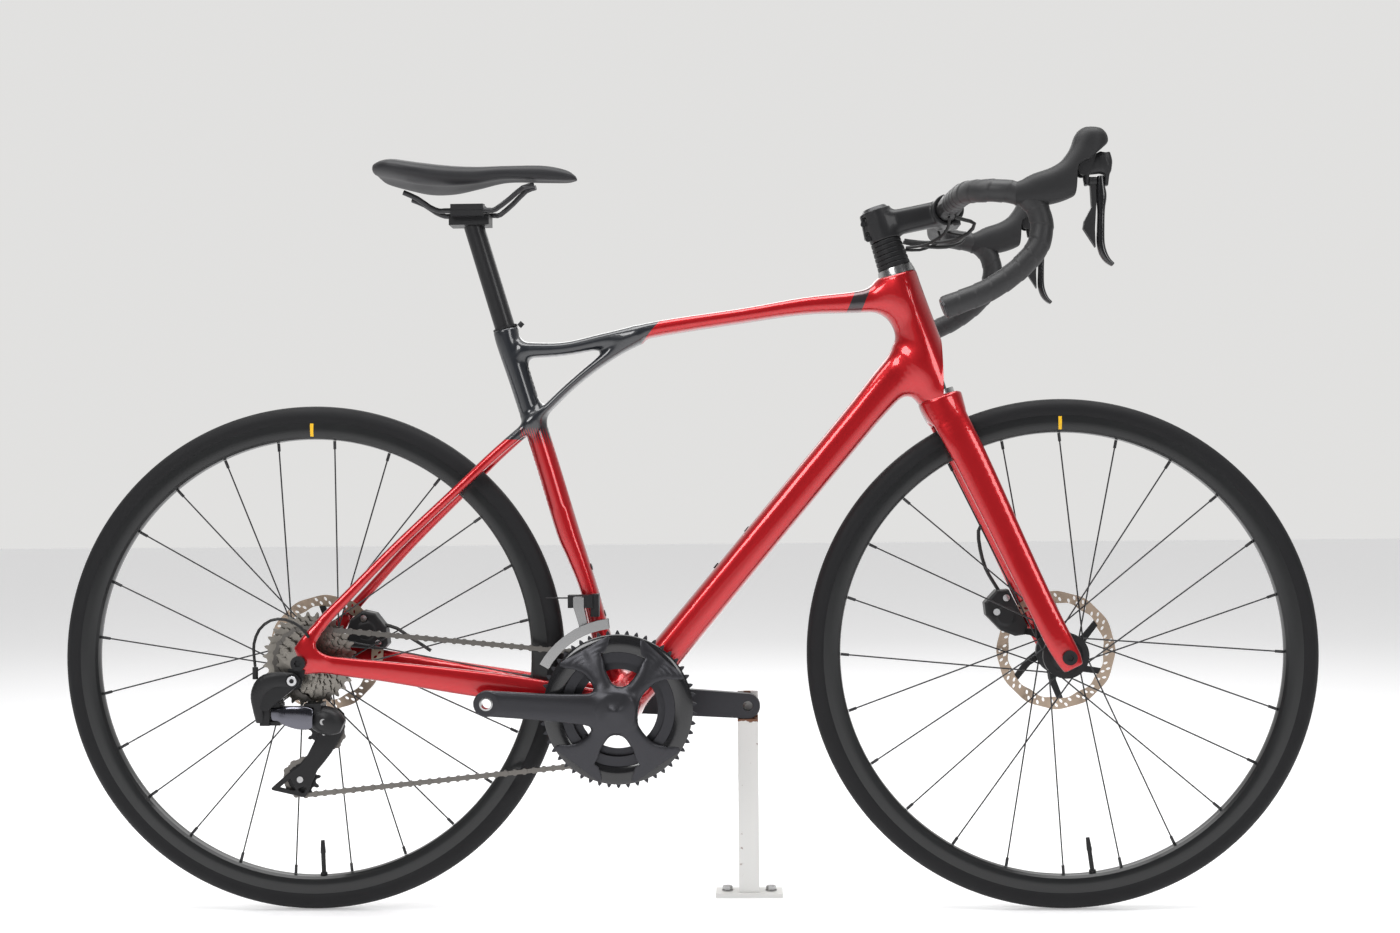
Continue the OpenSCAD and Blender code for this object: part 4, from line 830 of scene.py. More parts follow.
class Bicycle:
    """Builds every replaced piece and paints every kept one."""

    def __init__(self, frame: dict) -> None:
        self.nodes: dict[str, bpy.types.Object] = frame["nodes"]
        self.palette = Palette()
        self.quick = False

    # -- objects ----------------------------------------------------------

    def piece(self, name: str, data: MeshData, finish: Finish, body: str, replaces: Sequence[str] = (),
              sharp: float = 35.0) -> bpy.types.Object:
        """Makes one visible piece.

        Args:
            name: the object's name.
            data: its shape.
            finish: its material.
            body: the CAD body it moves with.
            replaces: CAD nodes it stands for.
            sharp: edges that bend by more than this many degrees stay sharp.

        Returns:
            The object.
        """
        mesh = bpy.data.meshes.new(name)
        faces = data.faces.tolist() if isinstance(data.faces, np.ndarray) else data.faces
        mesh.from_pydata((data.verts * MM).tolist(), [], faces)
        mesh.validate()
        mesh.update()
        obj = bpy.data.objects.new(name, mesh)
        bpy.context.scene.collection.objects.link(obj)
        obj.data.materials.append(self.palette.get(finish))
        mesh.polygons.foreach_set("use_smooth", [True] * len(mesh.polygons))
        if data.normals is not None and len(mesh.vertices) == len(data.normals):
            mesh.normals_split_custom_set_from_vertices(data.normals.tolist())
        else:
            mesh.set_sharp_from_angle(angle=math.radians(sharp))
        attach(obj, body)
        if replaces:
            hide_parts(*replaces)
        return obj

    def paint(self, finish: Finish, *names: str, sharp: float = 30.0) -> None:
        """Gives kept CAD nodes a material and sharp edges."""
        for name in names:
            obj = self.nodes[name]
            obj.data.materials.clear()
            obj.data.materials.append(self.palette.get(finish))
            obj.data.polygons.foreach_set("use_smooth", [True] * len(obj.data.polygons))
            obj.data.set_sharp_from_angle(angle=math.radians(sharp))

    # -- carbon -----------------------------------------------------------

    def frame_shell(self) -> None:
        """The one-piece carbon frame, from head tube to dropouts."""
        f = Field((-535, -92, 228), (345, 92, 868), 3.2 if self.quick else 2.0)
        # Head tube.
        f.tube([[*on_steerer(372.2), 55, 55, 2], [*on_steerer(386), 58, 58, 2],
                [*on_steerer(421), 57.5, 57, 2], [*on_steerer(471), 55, 54, 2],
                [*on_steerer(520), 52, 51.5, 2], [*on_steerer(545), 51, 51, 2]])
        # Down tube.
        f.tube([[303, 0, 724, 58, 38, 2.4], [276, 0, 699, 50, 45, 2.6], [252, 0, 672, 46, 48, 2.8],
                [220, 0, 634, 44.5, 50, 2.9], [120, 0, 515, 44.5, 54, 3], [0, 0, 371, 45.5, 58, 3],
                [-50, 0, 311, 47, 64, 2.8], [-78, 0, 281, 46, 70, 2.6]], k=26)
        # Top tube, then the strut below its rear end.
        f.tube([[296, 0, 817, 46, 30, 2.4], [262, 0, 812, 34, 34, 2.6], [230, 0, 808, 28, 37, 2.7],
                [162, 0, 803.5, 22.5, 39, 2.8], [80, 0, 791.5, 19.5, 41, 2.8], [-30, 0, 776, 20.5, 39, 2.8],
                [-106, 0, 760.5, 19.5, 34, 2.7], [-160, 0, 750, 18, 32, 2.6],
                [-216, 0, 748.5, 22, 32, 2.5]], k=28)
        f.tube([[-60, 0, 764, 15, 30, 2.5], [-95, 0, 743.5, 15, 31, 2.5], [-125, 0, 722, 12.5, 31, 2.5],
                [-155, 0, 697, 11.5, 32, 2.5], [-185, 0, 668.5, 12, 34, 2.5], [-206, 0, 650, 14, 36, 2.5]],
               k=16)
        # Seat tube and bottom bracket shell.
        f.tube([[-90, 0, 284, 38, 52, 2.6], [-108, 0, 345, 28, 38, 2.5], [-128, 0, 424, 24, 33, 2.4],
                [-146, 0, 476, 28, 33, 2.3], [-157, 0, 506, 31, 33.5, 2.2], [-185, 0, 600, 31, 33.5, 2.2],
                [-216, 0, 700, 31, 33.5, 2.2], [-234, 0, 757, 33, 34, 2.3],
                [*on_seat_axis(527), 34, 34, 2.2]], k=13)
        f.tube([[CRANK_AXLE[0], y, CRANK_AXLE[1], 54, 54, 2] for y in (-43, 43)], k=16, steps=1)
        # Seat stay, chain stay and dropout of the right side and of the left.
        for turn in (list, flipped):
            f.tube(turn([[-200, -10, 653, 15, 13, 2.2], [-232, -17, 626, 13.5, 12, 2.3],
                         [-261, -22, 600, 13, 12, 2.3], [-297, -31, 565, 12.5, 12, 2.3],
                         [-376, -46, 490, 12.5, 11.5, 2.3], [-440, -61, 424, 14, 11, 2.3],
                         [-470, -68.5, 392, 16, 10, 2.3], [-490, -75.4, 365, 20, 8, 2.3],
                         [-497, -75.4, 352, 24, 7.6, 2.4]]), k=9)
            f.tube(turn([[-499, -75.4, 338, 27, 7.6, 2.4], [-480, -75, 337, 25, 8, 2.5],
                         [-462, -72.5, 334.5, 23.5, 9, 2.6], [-430, -66, 329.5, 25, 11, 2.6],
                         [-389, -56, 323.5, 27, 12, 2.6], [-303, -38, 309, 33, 14, 2.6],
                         [-220, -28, 296, 36, 15, 2.6], [-160, -26.5, 285, 37, 16, 2.6],
                         [-98, -28, 275, 34, 18, 2.6]]), k=9)
            f.tube(turn([[REAR_AXLE[0] + 1, -75.3, REAR_AXLE[1] + 1, 31, 7.8, 2.2],
                         [-484, -75.2, 345, 33, 8, 2.4], [-476, -74.6, 352, 26, 8.2, 2.4]]), k=10)
        # Bores for the steerer, the seatpost, the spindle and the axle, then room for hub and tyre.
        f.drill(on_steerer(360), on_steerer(560), 23)
        f.drill(on_seat_axis(277), on_seat_axis(560), 13.7, k=0.3)
        f.bore(CRANK_AXLE, -60, 60, 20.5)
        f.bore(REAR_AXLE, -95, 95, AXLE_BORE_R, k=0.3)
        f.box_out((-540, -71.3, 290), (-470, 71.3, 390), k=0.4)
        f.bore(REAR_AXLE, -17, 17, STAY_GAP_R, k=2)
        self.piece("frame_shell", f.skin(), Finish.FRAME, "frame",
                   ["head_tube", "top_tube", "down_tube", "seat_tube", "bb_shell", "seat_stays",
                    "chain_stays", "dropouts"])
        hanger = plate([(-514, 331), (-492, 329), (-498, 306), (-509, 303), (-516, 311)],
                       -81.2, -79.0, [circle(*HANGER_BOLT, 5.2)])
        self.piece("hanger", hanger, Finish.BLACK, "frame")
        self.piece("axle_end", bolt(REAR_AXLE, -80.2, -84.4, 9.4, 4.0), Finish.BLACK, "frame")
        self.piece("hanger_bolt", bolt(HANGER_BOLT, -88, -93.2, 7.0, 3.0), Finish.POLISHED, "frame")

    def fork_shell(self) -> None:
        """The carbon fork: a crown that flows into two flattened blades."""
        f = Field((305, -76, 312), (545, 76, 700), 2.6 if self.quick else 1.6)
        f.tube([[*on_steerer(371.4), 56.5, 56.5, 2], [*on_steerer(362), 55, 54, 2.1],
                [*on_steerer(349, 1), 52, 48, 2.3]])
        for turn in (list, flipped):
            f.tube(turn([[345, -11, 676, 48, 26, 2.2], [352, -20, 654, 47, 23, 2.3],
                         [364, -27.5, 628, 45.5, 19, 2.4], [378, -30.5, 600, 44, 17.5, 2.4],
                         [402, -34, 548, 41.5, 17, 2.4], [432, -40, 481, 38, 16, 2.4],
                         [466, -50.5, 405, 35, 14.5, 2.4], [486, -55.5, 362, 35, 12.4, 2.5],
                         [500, -56, 336, 32, 11.4, 2.6], [506, -56, 324, 25, 11, 2.6]]), k=14)
        f.drill(on_steerer(300), on_steerer(352), 12, k=3)
        f.box_out((430, -50.3, 300), (545, 50.3, 366), k=1.5)
        f.bore(FRONT_AXLE, -95, 95, AXLE_BORE_R, k=0.3)
        f.bore(FRONT_AXLE, -21, 21, FORK_GAP_R, k=3)
        self.piece("fork_shell", f.skin(), Finish.FORK, "fork", ["fork_crown", "fork_blades"])
        steerer = revolved_z([[14.3, 380], [14.3, 636], [11.8, 636], [11.8, 380]], 48)
        self.piece("steerer_tube", steerer, Finish.SATIN, "fork")

    # -- wheels -----------------------------------------------------------

    def wheels(self) -> None:
        """Tyres, rims with their marks and valves, hubs and rotors of both wheels."""
        turns = 128 if self.quick else 288
        for side, (cx, cz), body, valve in (
            ("front", FRONT_AXLE, "front_wheel", -82.5),
            ("rear", REAR_AXLE, "rear_wheel", -88.0),
        ):
            self.piece(f"{side}_tyre_skin", revolved(tyre_profile(), (cx, cz), turns), Finish.TYRE, body,
                       [f"{side}_tyre"])
            rim = [[316, 11.5], [309, 11.9], [302, 11.7], [297, 10.2], [294, 6.8], [293, 2.5], [293, -2.5],
                   [294, -6.8], [297, -10.2], [302, -11.7], [309, -11.9], [316, -11.5], [316, -9.8],
                   [309.5, -9.6], [306.5, -5], [306.5, 5], [309.5, 9.6], [316, 9.8]]
            self.piece(f"{side}_rim_shell", revolved(rim, (cx, cz), turns), Finish.RIM, body,
                       [f"{side}_rim"], sharp=25)
            mark = [[314.6, -11.75], [309, -12.05], [302, -11.85], [297.4, -10.6], [297.0, -10.1],
                    [301.6, -11.3], [309, -11.5], [314.6, -11.2]]
            self.piece(f"{side}_rim_mark", revolved(mark, (cx, cz), 4, (89.58, 90.42)), Finish.MARK, body)
            a = math.radians(valve)
            d = np.array([math.cos(a), 0, math.sin(a)])
            c = np.array([cx, 0, cz])
            stem = joined([rod(c + d * 293.5, c + d * 262, 3.0), rod(c + d * 293, c + d * 290.2, 4.6),
                           rod(c + d * 264, c + d * 247, 3.7, 2.6)])
            self.piece(f"{side}_valve", stem, Finish.BLACK, body)
        self.paint(Finish.DARK_STEEL, "front_spokes", "rear_spokes")
        self.paint(Finish.BLACK, "front_hub", "rear_hub")
        for side, axle in (("front", FRONT_AXLE), ("rear", REAR_AXLE)):
            y, body = ROTOR_Y[side], f"{side}_wheel"
            self.piece(f"{side}_rotor_disc", rotor(axle, y), Finish.ROTOR, body, [f"{side}_rotor"])
            arms = [plate(arm(*axle, 60 * i + 8), y - 1.7, y + 1.7) for i in range(6)]
            ring = [[24, y + 2.4], [17.6, y + 2.4], [17.6, y - 2.4], [24, y - 2.4]]
            carrier = joined([joined(arms), revolved(ring, axle, 48)])
            self.piece(f"{side}_rotor_carrier", carrier, Finish.BLACK, body)

    # -- drivetrain --------------------------------------------------------

    def crank(self) -> None:
        """Right crank: an arm that flows into four spider arms, with the ring's smooth face."""
        bx, bz = CRANK_AXLE
        tilt = math.radians(180 - CRANK_TILT)
        ex, ez = bx + CRANK_LEN * math.cos(tilt), bz + CRANK_LEN * math.sin(tilt)
        f = Field((bx - 190, -79, bz - 100), (bx + 95, -46, bz + 100), 2.2 if self.quick else 1.3)
        stations = [[0, -69, 33.6, 12.6, 3.4], [0.3, -69, 34.5, 13, 3.4], [0.55, -69, 36.5, 13, 3.2],
                    [0.75, -68.6, 40.5, 13.4, 2.8], [0.92, -67, 44, 14, 2.4], [1.0, -65, 44, 14, 2.2]]
        f.tube([[ex + (bx - ex) * t, y, ez + (bz - ez) * t, d, w, e] for t, y, d, w, e in stations])
        # The boss around the pedal eye.
        f.tube([[ex, -75.4, ez, 33.8, 33.8, 2], [ex, -62.6, ez, 33.8, 33.8, 2]], k=1, steps=1)
        # Spider arms, which flare into the ring.
        for turn in (57, -57, 128, -128):
            a = tilt + math.radians(turn)
            arm_line = [[0, -64, 42, 15, 2.2], [28, -63.2, 26, 13.5, 2.2], [46, -60.4, 24, 11.5, 2.2],
                        [62, -57.4, 30, 8.5, 2.2], [74, -55, 46, 6.2, 2.3], [84, -53.2, 70, 4.6, 2.4],
                        [90, -52.2, 78, 3.4, 2.4]]
            f.tube([[bx + q * math.cos(a), y, bz + q * math.sin(a), d, w, e] for q, y, d, w, e in arm_line],
                   k=15)
        f.tube([[bx, -71.5, bz, 44, 44, 2.2], [bx, -50, bz, 40, 40, 2.2]], k=12, steps=1)
        f.bore((ex, ez), -90, -50, 6.9, k=0.8)
        # Rounded windows between the spider's arms, as turn from the crank arm and half width.
        for turn, wide in ((92.5, 0.40), (-92.5, 0.40), (180, 0.50)):
            a = tilt + math.radians(turn)
            rays = [(77.0, a + wide * t) for t in np.linspace(-1, 1, 13)]
            rays += [(34.0, a + 0.32 * wide * t) for t in (1, 0, -1)]
            window = [(bx + q * math.cos(t), bz + q * math.sin(t)) for q, t in rays]
            f.prism_out(window, -62, -40, 2.5)
        self.piece("crank_right_shell", f.skin(), Finish.GREY, "crankset", ["crank_right"])
        self.piece("crank_spindle", pin(CRANK_AXLE, -60.0, 73.0, 12.0), Finish.STEEL, "crankset")
        eye = revolved([[8.8, -75.6], [6.9, -75.9], [6.7, -75.9], [6.7, -62.5], [8.8, -62.5]], (ex, ez), 48)
        self.piece("crank_eye_bush", eye, Finish.STEEL, "crankset")
        face = [[98.2, -47.6], [98.4, -49.4], [96.6, -51.2], [91, -52.6], [84, -53.0], [78.5, -52.4],
                [75.4, -50.8], [74.6, -48.9], [74.8, -47.6]]
        self.piece("chainring_face", revolved(face, CRANK_AXLE, 192), Finish.GLOSS_BLACK, "crankset")

    def rear_derailleur(self) -> None:
        """Smooth bodies over the parallelogram and a curved cage."""
        # The mount on the hanger.
        f = Field((-575, -100, 245), (-495, -55, 335), 1.0)
        f.tube([[-506, -87.2, 316, 20, 9, 2.6], [-526, -87.6, 317.5, 20, 11, 2.6],
                [-543, -86, 312, 23, 15, 2.5], [-552, -81.5, 298, 21, 22, 2.5],
                [-552.5, -75.5, 280, 17, 29, 2.6], [-551, -72, 263, 14, 27, 2.6]])
        f.tube([[-551, -72, 288, 12, 24, 2.6], [-538, -71, 286.6, 9, 24, 2.8],
                [-526, -71, 286.2, 7, 22, 2.8]], k=7)
        f.bore(HANGER_BOLT, -110, -88.4, 7.4)
        f.box_out((-539.5, -90, 261.7), (-490, -50, 281.2), k=0.5)
        self.piece("rd_base_cover", f.skin(), Finish.BLACK, "frame", sharp=50)
        # The smoked outer link.
        f = Field((-545, -95, 242), (-475, -70, 294), 0.9)
        f.tube([[-537, -79, 271.5, 17.6, 6.5, 2.8], [-526, -81.5, 271.5, 18.4, 6.5, 2.6],
                [-516, -84, 270, 25, 6.4, 2.4], [-502, -84.9, 268, 30, 6.6, 2.3],
                [-489, -84.6, 266.5, 29, 6.2, 2.3], [-482, -84.2, 266, 22, 5, 2.2]])
        self.piece("rd_link_cover", f.skin(), Finish.SMOKED, "rd_outer")
        # The knuckle that carries the cage.
        f = Field((-500, -92, 235), (-436, -50, 292), 1.0)
        f.tube([[-484, -69, 266.5, 26, 20, 2.3], [-476, -69.5, 264.5, 34, 27, 2.2],
                [-465, -70, 261.5, 37, 31, 2.1], [-454, -70, 257.5, 30, 27, 2.1],
                [-446, -69.5, 254, 17, 17, 2]])
        self.piece("rd_knuckle_cover", f.skin(), Finish.BLACK, "rd_lower")
        # The cage: an outer plate with two windows, its pins and a straight inner plate.
        edge = [[-456, 275], [-449, 268], [-447, 258], [-450, 246], [-457, 232], [-466, 217], [-476, 204],
                [-485, 193.5], [-490, 183], [-496, 168], [-502, 157.5], [-546, 167.4], [-546.5, 170.3],
                [-525, 189], [-511, 199], [-499, 213], [-488, 230], [-482, 246], [-481, 260], [-475, 270],
                [-466, 276]]
        window = [[-535, 171.3], [-521, 183], [-516, 172.4], [-514, 166.6]]
        low_window = [[-503.5, 163.5], [-508, 164.6], [-511, 169], [-505, 172], [-499.5, 171.2]]
        inner = [*circle(*GUIDE_AXLE, 9.5, 24)[0:12], *circle(*TENSION_AXLE, 10.5, 24)[12:24]]
        cage = Field((-552, -52, 150), (-440, -44, 282), 0.8)
        cage.prism(edge, -49.6, -46.9, 0.8).prism_out(window, -60, -40).prism_out(low_window, -60, -40)
        self.piece("rd_cage_plate", cage.skin(), Finish.BLACK, "rd_swing", ["rd_cage"])
        pins = [
            pin(GUIDE_AXLE, -50.6, -31.6, 2.5),
            pin(TENSION_AXLE, -50.6, -31.6, 2.5),
            pin((-468.0, 262.0), -85.2, -46.9, 4.0),
            pin(TENSION_AXLE, -51.2, -49.4, 4.2),
        ]
        self.piece("rd_cage_pins", joined(pins), Finish.STEEL, "rd_swing")
        self.piece("rd_cage_back", plate(inner, -33.5, -32.0), Finish.BLACK, "rd_swing")

    def calipers(self) -> None:
        """Cast caliper bodies with their bolts."""
        front = [[436, 421], [461, 371], [458, 360], [444, 358], [424, 366], [405, 386], [403, 403],
                 [419, 420]]
        rear = [[-471, 347], [-418, 342.5], [-411, 350], [-414, 374], [-429, 393], [-446, 397], [-463, 385],
                [-471, 362]]
        for side, body, outline, axle, bolts in (
            ("front", "fork", front, FRONT_AXLE, [(432, 410), (419, 391)]),
            ("rear", "frame", rear, REAR_AXLE, [(-424, 352), (-444, 386)]),
        ):
            y = ROTOR_Y[side]
            pts = np.array(outline, float)
            low, high = pts.min(0) - 6, pts.max(0) + 6
            f = Field((low[0], y - 20, low[1]), (high[0], y + 20, high[1]), 1.0)
            f.prism(outline, y - 14, y + 14, 4.0)
            mid = pts.mean(0)
            # Round covers over the pistons.
            for s in (-1, 1):
                pot = [[mid[0], y + s * 8, mid[1], 25, 25, 2], [mid[0], y + s * 15.2, mid[1], 22, 22, 2.2]]
                f.tube(pot, k=4, steps=1)
            f.bore(axle, y - 1.6, y + 1.6, 82.5, k=0.8)
            for place in bolts:
                f.bore(place, y - 20, y - 12.4, 5.2)
            self.piece(f"{side}_caliper_shell", f.skin(), Finish.BLACK, body, [f"{side}_caliper"])
            heads = [pin(place, y - 15.4, y - 11.6, 4.6) for place in bolts]
            self.piece(f"{side}_caliper_bolts", joined(heads), Finish.POLISHED, body)

    # -- cockpit -----------------------------------------------------------

    def stem_shell(self) -> None:
        """The stem: a clamp on the steerer, a rounded body and the bar clamp with its split."""
        a, b = np.array(on_steerer(616.6)), np.array([BAR_CLAMP[0], 0.0, BAR_CLAMP[1]])
        along = unit(b - a)
        across = np.array([-along[2], 0, along[0]])
        f = Field((228, -27, 874), (392, 27, 968), 1.8 if self.quick else 1.1)
        f.tube([[*on_steerer(596.2), 40.5, 40, 2.2], [*on_steerer(637.6), 40, 40, 2.2]], steps=1)
        f.tube([[*(a - along * 2), 36, 34, 3.2], [*(a + along * 30), 33.5, 33, 3.4],
                [*(a + along * 66), 33.5, 37, 3.4], [*(a + along * 78), 35, 42, 3.4]], k=9)
        f.tube([[BAR_CLAMP[0], y, BAR_CLAMP[1], 42, 42, 2] for y in (-22, 22)], k=4, steps=1)
        def quad(start: np.ndarray, length: float, up: float, down: float) -> list[tuple[float, float]]:
            """Returns [x, z] corners of a block that starts there and runs along the stem."""
            top, low = start + across * up, start - across * down
            return [(q[0], q[2]) for q in (top, top + along * length, low + along * length, low)]

        f.prism(quad(b + along * 4, 9, 23, 23), -22, 22, 3, k=3)
        f.prism_out(quad(b - along * 0.2, 1.4, 30, 30), -30, 30, 0.3)
        back = a - along * 24
        f.prism(quad(back, 14, 17, 15), -7.5, 7.5, 2.5, k=4)
        for h in (11, -9):
            p = back + along * 4 + across * h
            f.bore((p[0], p[2]), -12, -5.4, 3.0, k=0.4)
        f.bore(BAR_CLAMP, -60, 60, 16.0, k=0.3)
        f.drill(on_steerer(580), on_steerer(660), 14.4, k=0.3)
        self.piece("stem_shell", f.skin(), Finish.SATIN, "fork", ["stem"])

    def spacers(self) -> None:
        """The silver cover and the stack of ribbed spacers."""
        cover = revolved_z([[25.4, 546], [25.0, 549], [23.2, 556.6], [15, 556.8], [15, 546]], 72)
        self.piece("headset_cover", cover, Finish.STEEL, "fork", ["headset_spacers"],
                   sharp=25)
        rings = []
        for i in range(6):
            low = 557.2 + 6.4 * i
            r0 = 22.2 - 0.33 * i
            ring = [[r0 - 0.9, low], [r0, low + 0.9], [r0 - 0.2, low + 5.2], [r0 - 1.1, low + 6.2],
                    [15, low + 6.2], [15, low]]
            rings.append(revolved_z(ring, 72))
        self.piece("spacer_stack", joined(rings), Finish.BLACK, "fork", sharp=25)

    def hood(self) -> None:
        """The rubber hoods."""
        f = Field((398, -236, 886), (536, -184, 1000), 1.8 if self.quick else 1.1)
        f.tube([[412, -207.5, 914.5, 27, 27, 2.2], [424, -208, 915.5, 32, 31, 2.3],
                [440, -209, 919, 40, 35, 2.3], [463, -LEVER_Y, 925, 43, 37, 2.4],
                [482, -LEVER_Y, 936, 44, 37, 2.4], [495, -LEVER_Y, 953, 43, 36, 2.4],
                [502, -LEVER_Y, 970, 40, 33, 2.3], [505, -LEVER_Y, 982, 31, 27, 2.2],
                [506, -LEVER_Y, 989, 17, 16, 2.1]])
        f.ball((505, -LEVER_Y, 979), (18.5, 15, 14.5), k=8)
        f.prism_out([[484, 880], [485, 938], [487, 946], [492, 950], [500, 953], [529, 978], [560, 978],
                     [560, 880]], -240, -180, 2.0)
        shape = f.skin()
        self.piece("hood_right", shape, Finish.RUBBER, "fork", ["hoods"])
        self.piece("hood_left", shape.mirrored(), Finish.RUBBER, "fork")

    def brackets(self) -> None:
        """The plastic nose in front of each hood."""
        f = Field((484, -226, 912), (536, -194, 985), 1.6 if self.quick else 0.9)
        f.tube(at_lever([[494, 941, 13, 13.6, 2.4], [503, 945.5, 19, 13.8, 2.5], [513, 949, 24, 13.8, 2.5],
                [520, 952, 25, 13.6, 2.5]]))
        f.tube(at_lever([[521, 962, 12, 13.4, 2.3], [523, 950, 13, 13.6, 2.4], [522.5, 936, 7, 13, 2.4],
                [521.6, 922.5, 5, 12, 2.4]]), k=6)
        f.tube(at_lever([[498, 938, 9, 13, 2.4], [498.4, 923, 5, 12, 2.4]]), k=4)
        f.box_out((501.2, -240, 915), (519.2, -180, 936.2), k=0.4)
        f.bore((494, 941), -240, -180, 2.6, k=0.3)
        shape = f.skin()
        self.piece("carrier_right_shell", shape, Finish.PLASTIC, "carrier_right", ["lever_carrier_right"])
        self.piece("carrier_left_shell", shape.mirrored(), Finish.PLASTIC, "carrier_left",
                   ["lever_carrier_left"])

    def blades(self) -> None:
        """Brake blades with their pin bore and their curved tips."""
        f = Field((498, -222, 815), (540, -198, 942), 1.4 if self.quick else 0.8)
        f.tube(at_lever([[514.7, 934, 8.6, 13, 2.6], [515.2, 922, 10.5, 13.6, 2.6],
                         [516, 910, 12.6, 13.4, 2.5], [515.6, 894, 9.2, 12.6, 2.5],
                         [514.9, 872, 9, 12.4, 2.4], [514.8, 853, 9.6, 12, 2.4],
                         [517.6, 841, 9.4, 11.4, 2.3], [522.6, 832.5, 7.6, 10.6, 2.2],
                         [529, 827, 5, 9.6, 2.1]]))
        f.drill((500, -LEVER_Y, 928), (530, -LEVER_Y, 928), 2.1, k=0.3)
        shape = f.skin()
        self.piece("blade_right_shell", shape, Finish.GLOSS_BLACK, "blade_right", ["brake_blade_right"])
        self.piece("blade_left_shell", shape.mirrored(), Finish.GLOSS_BLACK, "blade_left",
                   ["brake_blade_left"])

    def tape(self) -> None:
        """Tape wound around the bar, with overlaps, and its end plugs."""
        line = spline([[354, -56, 927.4], [354, -80, 927.2], [356, -120, 926.4], [360, -165, 924.4],
                       [374, -193, 921.4], [395, -204, 919.5], [420, -207.5, 914], [437, -208.5, 900],
                       [444.5, -209, 877], [440, -209.5, 852], [427, -210, 834], [406, -211, 815],
                       [375, -212, 796], [326, -213, 777]], 24)
        line = line[line[:, 1] <= -66]
        dist = np.concatenate([[0], np.cumsum(np.linalg.norm(np.diff(line, axis=0), axis=1))])
        count = int(dist[-1] / (2.4 if self.quick else 1.2))
        s = np.linspace(0, dist[-1], count)
        path = np.column_stack([np.interp(s, dist, line[:, i]) for i in range(3)])
        sides = 40
        rings = tube_rings(path, np.full(count, 1.0), sides) - path[:, None, :]
        turn = np.arange(sides) / sides
        phase = np.mod(s[:, None] / 21.0 + turn[None, :], 1.0)
        lap = np.clip(phase / 0.93, 0, 1) - np.clip((phase - 0.93) / 0.07, 0, 1)
        radius = 13.6 + 0.75 * lap
        verts = path[:, None, :] + rings * radius[:, :, None]
        faces = grid_faces(count, sides)
        faces.append(tuple(range(sides)))
        faces.append(tuple(reversed(range((count - 1) * sides, count * sides))))
        shape = MeshData(verts.reshape(-1, 3), faces)
        self.piece("tape_wrap", both(shape), Finish.TAPE, "fork", ["bar_tape"], sharp=60)
        end, back = path[-1], unit(path[-1] - path[-3])
        plug = joined([rod(end - back * 0.5, end + back * 2.2, 12.6, 11.8),
                       rod(end + back * 2.2, end + back * 3.0, 7.5, 6.8)])
        self.piece("bar_plugs", both(plug), Finish.DARK_STEEL, "fork")

    # -- seat --------------------------------------------------------------

    def saddle(self) -> None:
        """The padded saddle: sections from tail to nose with a slim edge under the padding."""
        w, nose = 73.0, -141.0
        stations = spline([[0, 0.42 * w, 991, 985], [6, 0.72 * w, 999, 979], [28, 0.96 * w, 1003.5, 972],
                           [62, 0.98 * w, 999, 964], [98, 0.76 * w, 996, 962], [135, 0.46 * w, 995.5, 966],
                           [175, 0.31 * w, 997, 973], [225, 0.26 * w, 997, 971], [255, 0.21 * w, 991, 971],
                           [267, 0.12 * w, 984, 974], [270, 0.04 * w, 980, 976]], 10)
        n = 64
        a = np.arange(n) / n * 2 * math.pi
        rings = []
        for d, half, top, low in stations:
            cy = np.sign(np.cos(a)) * np.abs(np.cos(a)) ** 0.8
            sz = np.sign(np.sin(a)) * np.abs(np.sin(a)) ** 0.85
            z = (top + low) / 2 + (top - low) / 2 * sz
            hollow = np.where(sz < 0, 0.25 * (top - low) * np.exp(-((cy * half) / (0.45 * half + 6)) ** 2), 0)
            groove = np.where(sz > 0, 1.4 * np.exp(-((cy * half) / 7.0) ** 2) * np.clip((d - 20) / 60, 0, 1)
                              * np.clip((255 - d) / 60, 0, 1), 0)
            rings.append(np.column_stack([np.full(n, nose - 270 + d), cy * half, z + hollow - groove]))
        verts = np.array(rings)
        faces = grid_faces(len(rings), n)
        faces.append(tuple(range(n)))
        faces.append(tuple(reversed(range((len(rings) - 1) * n, len(rings) * n))))
        obj = self.piece("saddle_cover", MeshData(verts.reshape(-1, 3), faces), Finish.SADDLE, "seat",
                         ["saddle"], sharp=70)

    # -- everything else ---------------------------------------------------

    def kept(self) -> None:
        """Paints the CAD nodes that are shown as they are."""
        self.paint(Finish.BLACK, "rear_thru_axle", "front_thru_axle", "frame_hardware", "handlebar",
                   "rd_base", "rd_inner_link", "rd_outer_link", "rd_knuckle", "fd_base")
        self.paint(Finish.STEEL, "frame_bearings", "fd_cage", "stand_bolts")
        self.paint(Finish.DARK_STEEL, "stem_bolts", "saddle_rails")
        self.paint(Finish.GREY, "crank_left", "chainrings")
        self.paint(Finish.COGS, "cassette")
        self.paint(Finish.CHAIN, "chain")
        self.paint(Finish.PLASTIC, "guide_pulley", "tension_pulley", "lever_brackets", "shift_paddle_right",
                   "shift_paddle_left")
        self.paint(Finish.HOSE, "frame_cables", "front_hoses")
        self.paint(Finish.SATIN, "seatpost")
        self.paint(Finish.STAND, "stand", sharp=20)


# ---------------------------------------------------------------------------
# Stage
# ---------------------------------------------------------------------------


